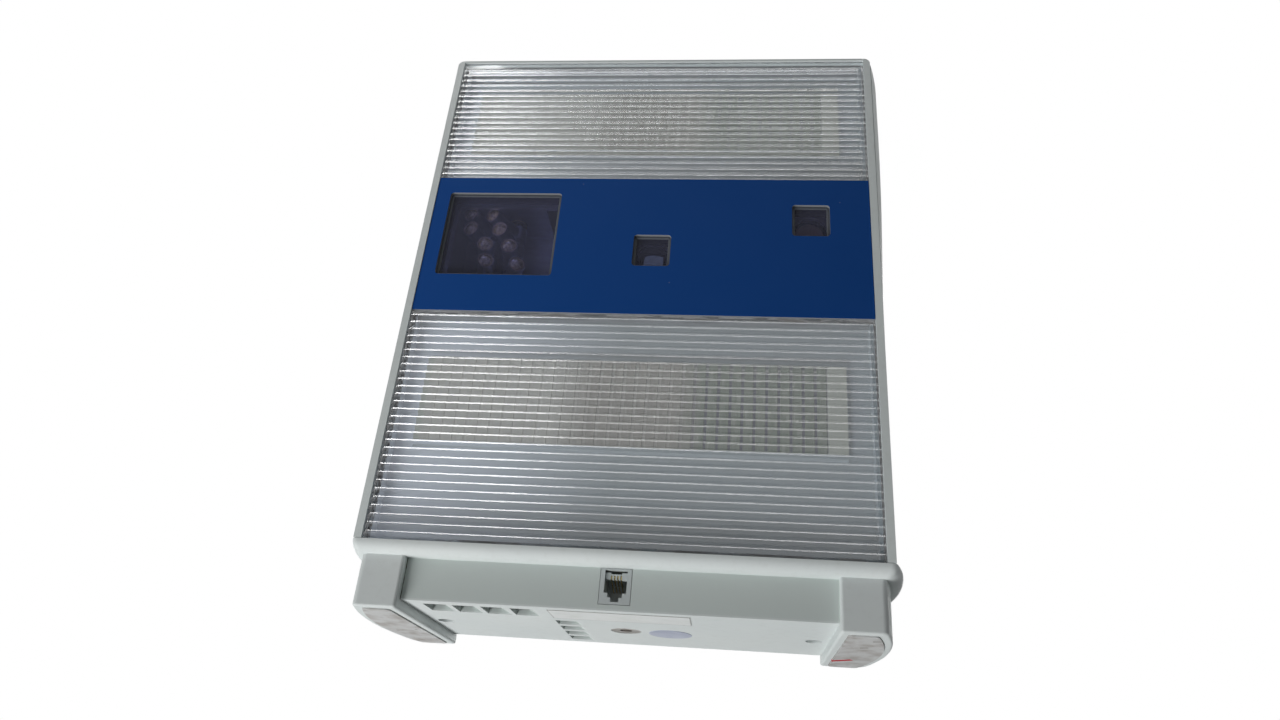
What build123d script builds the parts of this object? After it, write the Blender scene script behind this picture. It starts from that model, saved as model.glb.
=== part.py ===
from build123d import *
import math
import os

# Desktop 3D scanner standing on its two side feet.
# Millimetres.  +X to the viewer's right, +Y towards the rear, +Z up.
# The origin is on the table under the middle of the body.
# Depths named "..._d" count backwards from the flat front plane.

# ---- whole body
body_width = 224.0           # over the bowed sides, at their widest
body_depth = 91.4
body_height = 277.0
side_bow = 7.6               # the sides stand this far out past the front edges
rear_taper = 3.9             # each rear corner is this far in from the front edge
belly_d = 40.5               # depth at which the sides are widest
rear_dome = 1.4              # the rear stands this far out past its corners
rear_corner_radius = 12.0
waist_drop = 6.4             # each side is this much slimmer at the foot of the housing
waist_z = 60.0               # the slimming is complete below this level
shoulder_drop = 42.0         # and starts this far below the top
seam = 0.2                   # open joint between casing parts

# ---- rear housing
wall = 2.0
top_wall = 2.4
top_radius = 4.0
rear_wall = 4.0              # at the middle of the domed rear
loft_levels = 7
lip_thickness = 1.0          # top lip over the front panels
lug_width = 12.0
lug_height = 9.0
port_recess_inset = 8.0      # from each end of the main board
port_recess_z = (31.0, 52.0)
port_recess_depth = 1.8

# ---- base moulding and feet
rim_top_z = 25.75
rim_thickness = 5.0
rim_radius = 4.8             # bullnose under the rim
rim_corner_radius = 2.5
plinth_front_d = 8.5
plinth_rear_inset = 5.4
underside_z = 4.5
floor_thickness = 2.4
plinth_wall = 2.5
base_side_wall = 9.0         # inset of the base cavity from the rim outline
foot_width = 17.0            # across its front
foot_front_inset = 3.4       # each side of the foot, from the body above it
foot_belly_inset = 4.4
foot_rear_inset = 1.9
foot_front_d = 4.4
foot_heel_inset = 1.8
foot_front_radius = 2.5
foot_rear_radius = 8.0
foot_inner_radius = 1.2
foot_edge_radius = 1.0
pad_margin = 3.0             # foot sole left round the pad
pad_proud = 0.5              # the pad stands this far out of the sole
pad_pocket = 2.0
pad_fit = 0.1
pad_corner_radius = 2.0

# ---- vents in the underside: ramps that break through at their deep end
vent_width = 10.0
vent_rise = 5.0
front_vent_inset = 7.1       # from the left foot to the first vent
front_vent_pitch = 11.6
front_vent_count = 4
front_vent_d = (14.5, 28.0)
rear_vent_x = -27.5
rear_vent_d = 35.0
rear_vent_pitch = 12.0
rear_vent_length = 8.6
rear_vent_count = 4

# ---- tripod insert, stickers and base screws
insert_d = 51.3
insert_radius = 6.4
insert_length = 9.0
insert_fit = 0.05
insert_recess = 0.2
boss_wall = 2.4
thread_minor_radius = 2.6    # 1/4 inch - 20 tripod thread
thread_depth = 8.0
sticker_thickness = 0.2
label_x = (-27.0, 28.5)
label_d = (13.0, 29.0)
round_sticker_x = 18.6
round_sticker_d = 52.9
round_sticker_radius = 9.0
screw_inset = 6.0            # from the foot
screw_d = 51.0
screw_radius = 1.5
screw_head_radius = 3.0
screw_head_height = 2.2
screw_hole_radius = 1.7
screw_recess_radius = 3.5
screw_recess_depth = 3.0
post_radius = 5.5

# ---- side rails
rail_width = 3.2
rail_head_d = 1.6
rail_stem_thickness = 1.0
rail_stem_d = 12.0

# ---- front panels
panel_back_d = 3.2
rib_pitch = 3.5
rib_crest_d = 0.5
rib_valley_d = 0.95
band_drop = 74.8             # from the top of the body to the top of the band
band_height = 73.1
band_front_d = 0.4
band_back_d = 2.2
pane_thickness = 2.0
pane_overlap = 2.0           # the panes are bonded behind the band by this margin
window_radius = 1.6
laser_window_place = (33.6, 31.5)              # centre, in from the band's side and top edges
laser_window_size = (53.6, 45.4)
centre_window_place = (104.7, 39.9)
centre_window_size = (17.0, 16.7)
right_window_place = (26.3, 22.7)              # from the right side
right_window_size = (16.9, 17.0)
hood_wall = 2.0

# ---- light trays and LED boards
tray_inset = 0.6             # from the side edge of the panel in front
tray_wall = 1.5
chassis_front_d = 10.0
led_board_margins = (9.4, 11.4)                # left and right, from the tray's outside
led_board_height = 40.0
board_thickness = 1.6
upper_board_drop = 34.5      # centre of the upper LED board, from the top of the body
lower_board_drop = 40.1      # centre of the lower one, from the foot of the band

# ---- chassis
chassis_inset = 3.4          # from the side of the light tray
chassis_thickness = 2.0
chassis_top_drop = 4.0
flange_inset = 7.0           # from the side of the chassis wall
flange_rear_gap = 3.4
post_top_z = 26.0

# ---- laser columns
column_d = 33.5              # depth of both column axes
column_offsets = (-14.6, -1.7)                 # of the two axes from the laser window's centre
lens_reach = 20.0            # from the column axis to the front of a barrel
left_row_rise = 20.2         # top row, from the laser window's centre
left_row_pitch = 8.9
right_row_rise = 20.3
right_row_pitch = 9.4
left_angles = (-16.4, -12.6, 12.3, 16.7)       # degrees off straight ahead, top row first
right_angles = (-23.6, -8.6, 8.9, 23.6)
barrel_radius = 3.8
barrel_start = 3.5
lens_radius = 3.2
lens_dome = 1.6
lens_seat_depth = 1.0
lens_fit = 0.1
clamp_radius = 4.5
clamp_height = 7.4
shaft_radius = 2.0
shaft_fit = 0.02
running_fit = 0.05
shaft_end = 1.5              # stands out above the upper frame plate

# ---- laser frame, gears and motor
frame_half_width = 23.0
frame_below = 20.7           # from the laser window's centre
frame_above = 29.3
frame_plate = 2.0
frame_rear_d = 48.0
bush_radius = 3.5
bush_flange_radius = 4.4
bush_flange = 0.8
gear_module = 0.5
column_teeth = 20
pinion_teeth = 16
gear_thickness = 3.0
gear_lift = 0.2              # running gap over the bush flange
backlash = 0.08
pressure_angle = 20.0
motor_radius = 10.0
motor_height = 17.0
motor_boss_radius = 3.3
motor_shaft_radius = 1.5
motor_ear_x = 13.0
motor_ear_radius = 3.0
motor_ear_thickness = 1.2
motor_screw_radius = 1.0
motor_screw_head_radius = 1.9
motor_screw_head = 1.2

# ---- cameras
camera_block = 22.0
camera_block_depth = 15.0
camera_board = 30.0
camera_barrel_radius = 7.6
camera_lens_radius = 6.8
camera_lens_dome = 1.2
camera_hole_clearance = 0.5
centre_lens_d = 8.0
right_lens_d = 12.6

# ---- main board
board_z = 34.0
main_board_inset = 20.0      # from the side of the chassis flange
main_board_front_d = 20.0
standoff_radius = 3.0
standoff_hole_radius = 1.4
standoff_inset = 6.0
chip_height = 1.6
processor = (-34.0, 44.0, 24.0)                # x, depth, side
small_chips = ((4.0, 34.0, 12.0), (4.0, 52.0, 12.0), (40.0, 36.0, 14.0))
sink_size = 34.0
sink_fins = 8
sink_fin = 1.2
sink_base = 2.5
sink_height = 14.0

# ---- rear ports
port_gap = 0.3               # round a port in its opening
port_proud = 0.6             # out of the floor of the recess
usb_inset = 44.0             # from the right end of the main board
usb_width = 12.0
usb_height = 11.0
usb_depth = 16.0
usb_mouth = (8.6, 7.8)
usb_mouth_depth = 12.0
usb_tongue = (5.6, 3.2)
tongue_recess = 4.8
inlet_inset = 22.0           # from the right end of the main board
inlet_width = 9.0
inlet_height = 11.0
inlet_depth = 14.0
inlet_bore_radius = 3.2
inlet_bore_depth = 9.5
inlet_pin_radius = 1.0
switch_inset = 22.0          # from the left end of the recess
switch_z = 43.4
switch_body = (18.6, 12.6)
switch_flange = (21.6, 15.6)
switch_flange_thickness = 1.0
switch_body_depth = 13.6
switch_pocket = (16.0, 10.0)
switch_pocket_depth = 8.1
rocker_half_length = 7.2
rocker_gap = 0.25            # above and below the rocker
rocker_proud = 0.8
rocker_dip = 1.0
rocker_pivot_depth = 3.6     # behind the floor of the recess
rocker_pin_radius = 1.0
rocker_rest_angle = 7.0
rocker_keel = 2.6

# ---- drive jack in the plinth
jack_x = -0.5
jack_width = 12.1
jack_z = (6.95, 20.6)
jack_front_d = 8.4
jack_depth = 15.6
jack_hole_depth = 11.6
jack_mouth = ((8.7, 11.2, 20.0), (5.7, 9.5, 11.2), (3.2, 7.9, 9.5))   # width, low z, high z
jack_contact_count = 4
jack_contact_pitch = 1.25
jack_contact_width = 0.5
jack_contact_thickness = 0.4
jack_contact_front_z = 19.9
jack_contact_rear_z = 16.9

# ---- cooling fan
fan_x = 0.0
fan_drop = 51.0              # from the top of the body
fan_size = 60.0
fan_depth = 15.0
fan_bore_radius = 28.0
fan_tip_gap = 0.8
fan_hub_radius = 12.0
fan_hub_depth = 10.5
fan_blades = 7
fan_blade = 1.4
fan_blade_chord = 13.0
fan_blade_angles = (52.0, 30.0)                # degrees from the disc, at the hub and at the tip
fan_spider_depth = 2.0
fan_arm_width = 3.0
fan_boss_radius = 9.0
fan_axle_radius = 1.5
fan_float = 0.5              # between the spider and the rotor
fan_screw_pitch = 50.0
fan_screw_length = 14.0
fan_screw_sink = 2.0         # depth of the recess for a screw head
fan_screw_head = 1.5
fan_corner_radius = 4.0
grille_slot = 3.0
grille_pitch = 6.0
grille_radius = 27.0

# ---- worked out from the sizes above
front_y = -body_depth / 2
half_width = body_width / 2
front_half_width = half_width - side_bow
rear_half_width = front_half_width - rear_taper
rear_corner_d = body_depth - rear_dome
rear_inner_d = body_depth - rear_wall
shoulder_z = body_height - shoulder_drop
housing_bottom_z = rim_top_z + seam
housing_front_d = rail_head_d + seam
rim_bottom_z = rim_top_z - rim_thickness
floor_z = underside_z + floor_thickness
plinth_rear_d = body_depth - plinth_rear_inset
sole_z = pad_proud
foot_front_half_width = front_half_width - foot_front_inset
foot_belly_half_width = half_width - foot_belly_inset
foot_rear_half_width = front_half_width - foot_rear_inset
foot_inner_x = foot_front_half_width - foot_width
foot_rear_d = body_depth - foot_heel_inset
screw_x = foot_inner_x - screw_inset
rail_inner_x = front_half_width - rail_width
panel_half_width = rail_inner_x - seam
panel_top_z = body_height - lip_thickness - seam
band_top_z = body_height - band_drop
band_z = (band_top_z - band_height, band_top_z)
laser_window = (laser_window_place[0] - panel_half_width, band_top_z - laser_window_place[1],
                *laser_window_size)                # centre x, centre z, width, height
centre_window = (centre_window_place[0] - panel_half_width, band_top_z - centre_window_place[1],
                 *centre_window_size)
right_window = (panel_half_width - right_window_place[0], band_top_z - right_window_place[1],
                *right_window_size)
pane_back_d = band_back_d + pane_thickness
tray_half_width = panel_half_width - tray_inset
led_board_x = (led_board_margins[0] - tray_half_width, tray_half_width - led_board_margins[1])
upper_board_z = body_height - upper_board_drop
lower_board_z = band_z[0] - lower_board_drop
chassis_half_width = tray_half_width - chassis_inset
chassis_rear_d = chassis_front_d + chassis_thickness
chassis_top_z = body_height - chassis_top_drop
flange_half_width = chassis_half_width - flange_inset
flange_rear_d = rear_inner_d - flange_rear_gap
flange_top_z = post_top_z + chassis_thickness
left_column_x = laser_window[0] + column_offsets[0]
right_column_x = laser_window[0] + column_offsets[1]
frame_bottom_z = laser_window[1] - frame_below
frame_top_z = laser_window[1] + frame_above
column_gear_radius = gear_module * column_teeth / 2
pinion_radius = gear_module * pinion_teeth / 2
pinion_x = (left_column_x + right_column_x) / 2
gear_centres = column_gear_radius + pinion_radius
pinion_d = column_d + math.sqrt(gear_centres ** 2 - (right_column_x - pinion_x) ** 2)
gear_z = frame_bottom_z + frame_plate + bush_flange + gear_lift
board_top_z = board_z + board_thickness
main_board_half_width = flange_half_width - main_board_inset
main_board_d = (main_board_front_d, flange_rear_d)
port_recess_half_width = main_board_half_width - port_recess_inset
usb_x = main_board_half_width - usb_inset
inlet_x = main_board_half_width - inlet_inset
switch_x = switch_inset - port_recess_half_width
port_plane_d = body_depth - port_recess_depth
port_face_d = port_plane_d + port_proud
switch_body_d = port_plane_d - switch_body_depth
switch_pocket_d = port_plane_d - switch_pocket_depth
rocker_tip_d = port_plane_d + rocker_proud
rocker_pivot_d = port_plane_d - rocker_pivot_depth
fan_z = body_height - fan_drop
fan_screw_seat_d = body_depth - fan_screw_sink


# ---- small helpers

def behind(d):
    """Y of a depth that counts backwards from the front plane."""
    return front_y + d


def block(x_span, d_span, z_span):
    """Box given by its limits in X, in depth and in Z."""
    size = (x_span[1] - x_span[0], d_span[1] - d_span[0], z_span[1] - z_span[0])
    centre = (sum(x_span) / 2, behind(sum(d_span) / 2), sum(z_span) / 2)
    return Pos(*centre) * Box(*size)


def upright(x, d, radius, z_span):
    """Cylinder standing along Z."""
    height = z_span[1] - z_span[0]
    return Pos(x, behind(d), sum(z_span) / 2) * Cylinder(radius, height)


def level(x, z, radius, d_span):
    """Cylinder lying along Y."""
    length = d_span[1] - d_span[0]
    return Pos(x, behind(sum(d_span) / 2), z) * Rot(90, 0, 0) * Cylinder(radius, length)


def both_sides(solid):
    """The solid and its mirror image across the middle plane."""
    return solid + mirror(solid, about=Plane.YZ)


def window_prism(window, grow, d_span, radius):
    """Upright rounded rectangle through a depth span, for openings, panes and hoods."""
    x, z, width, height = window
    shape = RectangleRounded(width + 2 * grow, height + 2 * grow, radius)
    plane = Plane(origin=(x, behind(d_span[1]), z), x_dir=(1, 0, 0), z_dir=(0, -1, 0))
    return extrude(plane * shape, d_span[1] - d_span[0])


# ---- level outlines of the body

def belly_half_width(z):
    """Half width at the widest depth: full at the shoulder, easing in to the waist."""
    share = (shoulder_z - z) / (shoulder_z - waist_z)
    share = min(max(share, 0.0), 1.0)
    return half_width - waist_drop * share * share * (3 - 2 * share)


def outline_face(belly, inset=0.0, front_radius=0.0):
    """Flat front, bowed sides, domed rear with round corners; at Z = 0."""
    front = (front_half_width - inset, front_y)
    side = (belly - inset, behind(belly_d))
    corner = (rear_half_width - inset, behind(rear_corner_d - inset))
    rear = (0, body_depth / 2 - inset)
    edges = [
        Line((-front[0], front[1]), front),
        ThreePointArc(front, side, corner),
        ThreePointArc(corner, rear, (-corner[0], corner[1])),
        ThreePointArc((-corner[0], corner[1]), (-side[0], side[1]), (-front[0], front[1])),
    ]
    face = make_face(edges).face()
    face = face.fillet_2d(rear_corner_radius, face.vertices().sort_by(Axis.Y)[-2:])
    if front_radius > 0:
        face = face.fillet_2d(front_radius, face.vertices().sort_by(Axis.Y)[:2])
    return face


def cavity_face(belly):
    """The room inside the housing wall: open past the front, flat at the rear."""
    mouth_y = front_y - wall
    front = (front_half_width - wall, front_y)
    side = (belly - wall, behind(belly_d))
    corner = (rear_half_width - wall, behind(rear_inner_d))
    edges = [
        Line((-front[0], mouth_y), (front[0], mouth_y)),
        Line((front[0], mouth_y), front),
        ThreePointArc(front, side, corner),
        Line(corner, (-corner[0], corner[1])),
        ThreePointArc((-corner[0], corner[1]), (-side[0], side[1]), (-front[0], front[1])),
        Line((-front[0], front[1]), (-front[0], mouth_y)),
    ]
    face = make_face(edges).face()
    return face.fillet_2d(rear_corner_radius - wall, face.vertices().sort_by(Axis.Y)[-2:])


def tapered(section, z_low, z_high):
    """Smooth loft of a level section that follows the waist of the housing."""
    step = (z_high - z_low) / (loft_levels - 1)
    levels = [z_low + step * n for n in range(loft_levels)]
    return loft([Pos(0, 0, z) * section(belly_half_width(z)) for z in levels])


# ---- casing

def rear_housing():
    shell = tapered(outline_face, housing_bottom_z, body_height)
    top = shell.edges().filter_by(lambda e: e.center().Z > body_height - 0.01)
    shell = fillet(top.sort_by(Axis.Y)[1:], top_radius)
    cavity = tapered(cavity_face, housing_bottom_z - wall, body_height - top_wall)
    shell -= cavity
    # room for the panels under the lip, and for the rails beside it
    shell -= block((-rail_inner_x, rail_inner_x), (-wall, panel_back_d + seam),
                   (housing_bottom_z - wall, body_height - lip_thickness))
    shell -= both_sides(block((rail_inner_x - seam, half_width + wall),
                              (-wall, housing_front_d), (0, body_height + wall)))
    shell += screw_lugs()
    shell -= both_sides(upright(screw_x, screw_d, screw_radius + running_fit,
                                (flange_top_z - wall, flange_top_z + lug_height - wall)))
    shell -= port_openings()
    shell -= fan_grille()
    return shell


def screw_lugs():
    """A lug on each side wall that takes the base screw."""
    inner = screw_x - lug_width / 2
    wall_x = belly_half_width(housing_bottom_z) - wall
    lug = block((inner, wall_x + wall / 2), (screw_d - lug_width / 2, screw_d + lug_width / 2),
                (flange_top_z + seam, flange_top_z + seam + lug_height))
    end = lug.edges().filter_by(Axis.Z).sort_by(Axis.X)[:2]
    return both_sides(fillet(end, lug_width / 3))


def port_openings():
    """The recess at the foot of the rear wall and the openings in it."""
    z_span = port_recess_z
    recess = block((-port_recess_half_width, port_recess_half_width),
                   (port_plane_d, body_depth + wall), z_span)
    recess = fillet(recess.edges().filter_by(Axis.Y), 3 * wall)
    through = (rear_inner_d - wall, body_depth)
    usb = port_box(usb_x, usb_width, usb_height, port_gap, through)
    inlet = port_box(inlet_x, inlet_width, inlet_height, port_gap, through)
    switch = window_prism((switch_x, switch_z, *switch_body), port_gap, through, port_gap)
    return recess + usb + inlet + switch


def port_box(x, width, height, gap, d_span):
    """Room round a port that stands on the main board."""
    return block((x - width / 2 - gap, x + width / 2 + gap), d_span,
                 (board_top_z - gap, board_top_z + height + gap))


def fan_grille():
    """Level slots cut to the chord of a circle, with the four screw holes."""
    count = int(grille_radius / grille_pitch)
    through = (rear_inner_d - wall, body_depth + wall)
    slots = []
    for n in range(-count, count + 1):
        rise = n * grille_pitch
        half = math.sqrt(grille_radius ** 2 - rise ** 2)
        slots.append(window_prism((fan_x, fan_z + rise, 2 * half, grille_slot), 0.0,
                                  through, grille_slot * 0.49))
    for x, z in fan_screw_places():
        slots.append(level(x, z, screw_hole_radius, through))
        slots.append(level(x, z, screw_recess_radius, (fan_screw_seat_d, body_depth + wall)))
    return Part() + slots


def fan_screw_places():
    half = fan_screw_pitch / 2
    return [(fan_x + sx * half, fan_z + sz * half) for sx in (-1, 1) for sz in (-1, 1)]


def side_rail(side):
    """Front trim rail: a broad head over the edge of the housing and a thin stem."""
    head = block((rail_inner_x, front_half_width), (0, rail_head_d),
                 (housing_bottom_z, body_height))
    corner = head.edges().filter_by(Axis.Y).sort_by(Axis.Z)[-2:].sort_by(Axis.X)[-1]
    head = fillet(corner, front_half_width - rail_inner_x - seam)
    stem = block((rail_inner_x, rail_inner_x + rail_stem_thickness), (rail_head_d, rail_stem_d),
                 (housing_bottom_z, body_height - top_wall - seam))
    rail = head + stem
    return rail if side > 0 else mirror(rail, about=Plane.YZ)


def ribbed_panel(z_low, z_high):
    """Clear reeded panel: whole round reeds, with a flat strip left at the top."""
    count = int((z_high - z_low) / rib_pitch)
    back = behind(panel_back_d)
    valley = behind(rib_valley_d)
    crest = behind(rib_crest_d)
    reeds_top = z_low + count * rib_pitch
    edges = [Line((0, back, z_high), (0, back, z_low)), Line((0, back, z_low), (0, valley, z_low))]
    for n in range(count):
        z = z_low + n * rib_pitch
        edges.append(ThreePointArc((0, valley, z), (0, crest, z + rib_pitch / 2),
                                   (0, valley, z + rib_pitch)))
    if z_high - reeds_top > seam:
        edges.append(Line((0, valley, reeds_top), (0, valley, z_high)))
        edges.append(Line((0, valley, z_high), (0, back, z_high)))
    else:
        edges.append(Line((0, valley, reeds_top), (0, back, z_high)))
    profile = make_face(edges)
    return Pos(-panel_half_width, 0, 0) * extrude(profile, 2 * panel_half_width, dir=(1, 0, 0))


def band_panel():
    panel = block((-panel_half_width, panel_half_width), (band_front_d, band_back_d),
                  (band_z[0] + seam, band_z[1] - seam))
    for window in (laser_window, centre_window, right_window):
        panel -= window_prism(window, 0.0, (-wall, panel_back_d), window_radius)
    return panel


def window_pane(window):
    """Smoked pane bonded behind its opening."""
    return window_prism(window, pane_overlap, (band_back_d, pane_back_d), window_radius)


def window_hood(window):
    """Dark tube from a pane back to the chassis, which keeps stray light out."""
    span = (pane_back_d, chassis_front_d)
    outside = window_prism(window, hood_wall, span, window_radius)
    return outside - window_prism(window, 0.0, span, window_radius)


# ---- base

def foot_face():
    """Level outline of the right foot at Z = 0."""
    front_outer = (foot_front_half_width, behind(foot_front_d))
    belly = (foot_belly_half_width, behind(foot_front_d + belly_d))
    rear_outer = (foot_rear_half_width, behind(foot_rear_d))
    front_inner = (foot_inner_x, behind(foot_front_d))
    rear_inner = (foot_inner_x, behind(foot_rear_d))
    face = make_face([
        Line(front_inner, front_outer),
        ThreePointArc(front_outer, belly, rear_outer),
        Line(rear_outer, rear_inner),
        Line(rear_inner, front_inner),
    ]).face()
    face = face.fillet_2d(foot_inner_radius, face.vertices().sort_by(Axis.X)[:2])
    front_corner = face.vertices().group_by(Axis.Y)[0].sort_by(Axis.X)[-1]
    face = face.fillet_2d(foot_front_radius, [front_corner])
    rear_corner = face.vertices().group_by(Axis.Y)[-1].sort_by(Axis.X)[-1]
    return face.fillet_2d(foot_rear_radius, [rear_corner])


def pad_face(fit):
    """Outline of the rubber pad, held inside the sole by an even margin."""
    inset = pad_margin + fit
    front_outer = (foot_front_half_width - inset, behind(foot_front_d + inset))
    belly = (foot_belly_half_width - inset, behind(foot_front_d + belly_d))
    rear_outer = (foot_rear_half_width - inset, behind(foot_rear_d - inset))
    front_inner = (foot_inner_x + inset, behind(foot_front_d + inset))
    rear_inner = (foot_inner_x + inset, behind(foot_rear_d - inset))
    face = make_face([
        Line(front_inner, front_outer),
        ThreePointArc(front_outer, belly, rear_outer),
        Line(rear_outer, rear_inner),
        Line(rear_inner, front_inner),
    ]).face()
    return face.fillet_2d(pad_corner_radius, face.vertices())


def foot():
    solid = Pos(0, 0, sole_z) * extrude(foot_face(), rim_bottom_z + rim_thickness / 4 - sole_z)
    sole = solid.edges().group_by(Axis.Z)[0]
    solid = fillet(sole, foot_edge_radius)
    return solid - extrude(pad_face(0.0), sole_z + pad_pocket)


def base_moulding():
    rim_face = outline_face(half_width, 0.0, rim_corner_radius)
    rim = Pos(0, 0, rim_bottom_z) * extrude(rim_face, rim_thickness)
    rim = fillet(rim.edges().group_by(Axis.Z)[0], rim_radius)
    plinth = block((-foot_inner_x - wall, foot_inner_x + wall), (plinth_front_d, plinth_rear_d),
                   (underside_z, rim_bottom_z + rim_thickness / 4))
    base = rim + plinth + both_sides(foot())
    cavity = extrude(outline_face(half_width, base_side_wall), rim_top_z)
    room = block((-half_width, half_width),
                 (plinth_front_d + plinth_wall, plinth_rear_d - plinth_wall),
                 (floor_z, rim_top_z + wall))
    base -= Pos(0, 0, wall) * cavity & room
    insert_top_z = underside_z + insert_recess + insert_length
    base += upright(0, insert_d, insert_radius + boss_wall, (floor_z - wall / 2, insert_top_z + wall))
    base += both_sides(upright(screw_x, screw_d, post_radius, (floor_z - wall / 2, post_top_z)))
    base -= upright(0, insert_d, insert_radius + insert_fit, (0, insert_top_z))
    base -= both_sides(upright(screw_x, screw_d, screw_hole_radius, (0, body_height)))
    base -= both_sides(upright(screw_x, screw_d, screw_recess_radius,
                               (0, underside_z + screw_recess_depth)))
    base -= block((jack_x - jack_width / 2 - seam, jack_x + jack_width / 2 + seam),
                  (0, plinth_front_d + plinth_wall + wall), (jack_z[0] - seam, rim_bottom_z))
    return base - underside_vents()


def vent_ramp(x, d_span):
    """Wedge that is deepest at its left end and runs out at its right end."""
    low = underside_z - vent_rise * 0.02
    profile = Polyline((x, behind(d_span[0]), low), (x, behind(d_span[0]), low + vent_rise),
                       (x + vent_width, behind(d_span[0]), low), close=True)
    return extrude(make_face(profile), d_span[1] - d_span[0], dir=(0, 1, 0))


def underside_vents():
    first = front_vent_inset - foot_inner_x
    front = [vent_ramp(first + n * front_vent_pitch, front_vent_d)
             for n in range(front_vent_count)]
    rear = []
    for n in range(rear_vent_count):
        start = rear_vent_d + n * rear_vent_pitch
        rear.append(vent_ramp(rear_vent_x, (start, start + rear_vent_length)))
    return Part() + front + rear


def foot_pad(side):
    pad = extrude(pad_face(pad_fit), pad_proud + pad_pocket)
    return pad if side > 0 else mirror(pad, about=Plane.YZ)


def tripod_insert():
    low = underside_z + insert_recess
    body = upright(0, insert_d, insert_radius, (low, low + insert_length))
    lead = body.edges().group_by(Axis.Z)[0]
    body = chamfer(lead, insert_recess)
    return body - upright(0, insert_d, thread_minor_radius, (0, low + thread_depth))


def blank_label():
    return block(label_x, label_d, (underside_z - sticker_thickness, underside_z))


def round_sticker():
    return upright(round_sticker_x, round_sticker_d, round_sticker_radius,
                   (underside_z - sticker_thickness, underside_z))


def base_screws():
    head_top = underside_z + screw_recess_depth
    head = upright(screw_x, screw_d, screw_head_radius, (head_top - screw_head_height, head_top))
    shank = upright(screw_x, screw_d, screw_radius,
                    (head_top - screw_head_height / 2, flange_top_z + lug_height / 2))
    slot = block((screw_x - screw_head_radius, screw_x + screw_head_radius),
                 (screw_d - running_fit * 8, screw_d + running_fit * 8),
                 (0, head_top - screw_head_height + screw_head_height / 3))
    return both_sides(head + shank - slot)


# ---- behind the front panels

def light_tray(z_low, z_high):
    """Open tray behind a ribbed panel: reflecting floor and four walls."""
    outside = block((-tray_half_width, tray_half_width), (panel_back_d, chassis_front_d),
                    (z_low, z_high))
    inside = block((-tray_half_width + tray_wall, tray_half_width - tray_wall),
                   (0, chassis_front_d - tray_wall), (z_low + tray_wall, z_high - tray_wall))
    return outside - inside


def led_board(z_centre):
    back = chassis_front_d - tray_wall
    return block(led_board_x, (back - board_thickness, back),
                 (z_centre - led_board_height / 2, z_centre + led_board_height / 2))


def chassis():
    """Bent plate: a wall behind the trays and a floor flange on the base posts."""
    face = block((-chassis_half_width, chassis_half_width), (chassis_front_d, chassis_rear_d),
                 (post_top_z, chassis_top_z))
    flange = block((-flange_half_width, flange_half_width), (chassis_front_d, flange_rear_d),
                   (post_top_z, flange_top_z))
    plate = face + flange
    bend = plate.edges().filter_by(Axis.X).group_by(Axis.Z)[0].sort_by(Axis.Y)[0]
    plate = fillet(bend, chassis_thickness * 0.9)
    through = (chassis_front_d - wall, chassis_rear_d + wall)
    plate -= window_prism(laser_window, -wall, through, window_radius)
    for window in (centre_window, right_window):
        plate -= level(window[0], window[1], camera_barrel_radius + camera_hole_clearance, through)
    plate -= both_sides(upright(screw_x, screw_d, screw_hole_radius,
                                (post_top_z - wall, flange_top_z + seam / 2)))
    return plate


def camera(window, lens_d):
    """Camera module: block with its barrel, board behind it, lens in the barrel's mouth."""
    x, z = window[:2]
    half = camera_block / 2
    block_span = (chassis_rear_d, chassis_rear_d + camera_block_depth)
    body = block((x - half, x + half), block_span, (z - half, z + half))
    body += level(x, z, camera_barrel_radius, (lens_d, block_span[1]))
    seat_d = lens_d + 1.5 * camera_lens_dome
    body -= level(x, z, camera_lens_radius + lens_fit, (lens_d - wall, seat_d))
    body -= level(x, z, camera_lens_radius * 0.75, (lens_d - wall, block_span[1] - wall))
    board_half = camera_board / 2
    board = block((x - board_half, x + board_half),
                  (block_span[1], block_span[1] + board_thickness), (z - board_half, z + board_half))
    lens = domed_lens(camera_lens_radius, camera_lens_dome / 2, camera_lens_dome)
    lens = Pos(x, behind(seat_d), z) * Rot(90, 0, 0) * lens
    return body, board, lens


def domed_lens(radius, rim, dome):
    """Plano-convex lens standing on Z = 0, with its dome above a straight rim."""
    ball = (radius ** 2 + dome ** 2) / (2 * dome)
    height = rim + dome
    return Pos(0, 0, height / 2) * Cylinder(radius, height) & Pos(0, 0, height - ball) * Sphere(ball)


# ---- laser columns

def column_rows(top_z, pitch, angles):
    return [(top_z - n * pitch, angle) for n, angle in enumerate(angles)]


def column_shaft(x):
    return upright(x, column_d, shaft_radius, (frame_bottom_z + seam, frame_top_z + shaft_end))


def laser_modules(x, rows):
    """Four barrels clamped on a column shaft, each turned to its own angle."""
    modules = []
    for z, angle in rows:
        clamp = Cylinder(clamp_radius, clamp_height)
        barrel_length = lens_reach - barrel_start
        barrel = Pos(0, -barrel_start - barrel_length / 2, 0) * Rot(90, 0, 0) * Cylinder(
            barrel_radius, barrel_length)
        module = clamp + barrel - Cylinder(shaft_radius + shaft_fit, clamp_height * 2)
        seat = Pos(0, -lens_reach, 0) * Rot(90, 0, 0) * Cylinder(
            lens_radius + lens_fit, 2 * lens_seat_depth)
        modules.append(Pos(x, behind(column_d), z) * Rot(0, 0, angle) * (module - seat))
    return Compound(modules)


def laser_lenses(x, rows):
    lens = domed_lens(lens_radius, lens_seat_depth, lens_dome)
    placed = []
    for z, angle in rows:
        seat_y = -lens_reach + lens_seat_depth
        placed.append(Pos(x, behind(column_d), z) * Rot(0, 0, angle) * Pos(0, seat_y, 0)
                      * Rot(90, 0, 0) * lens)
    return Compound(placed)


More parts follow.
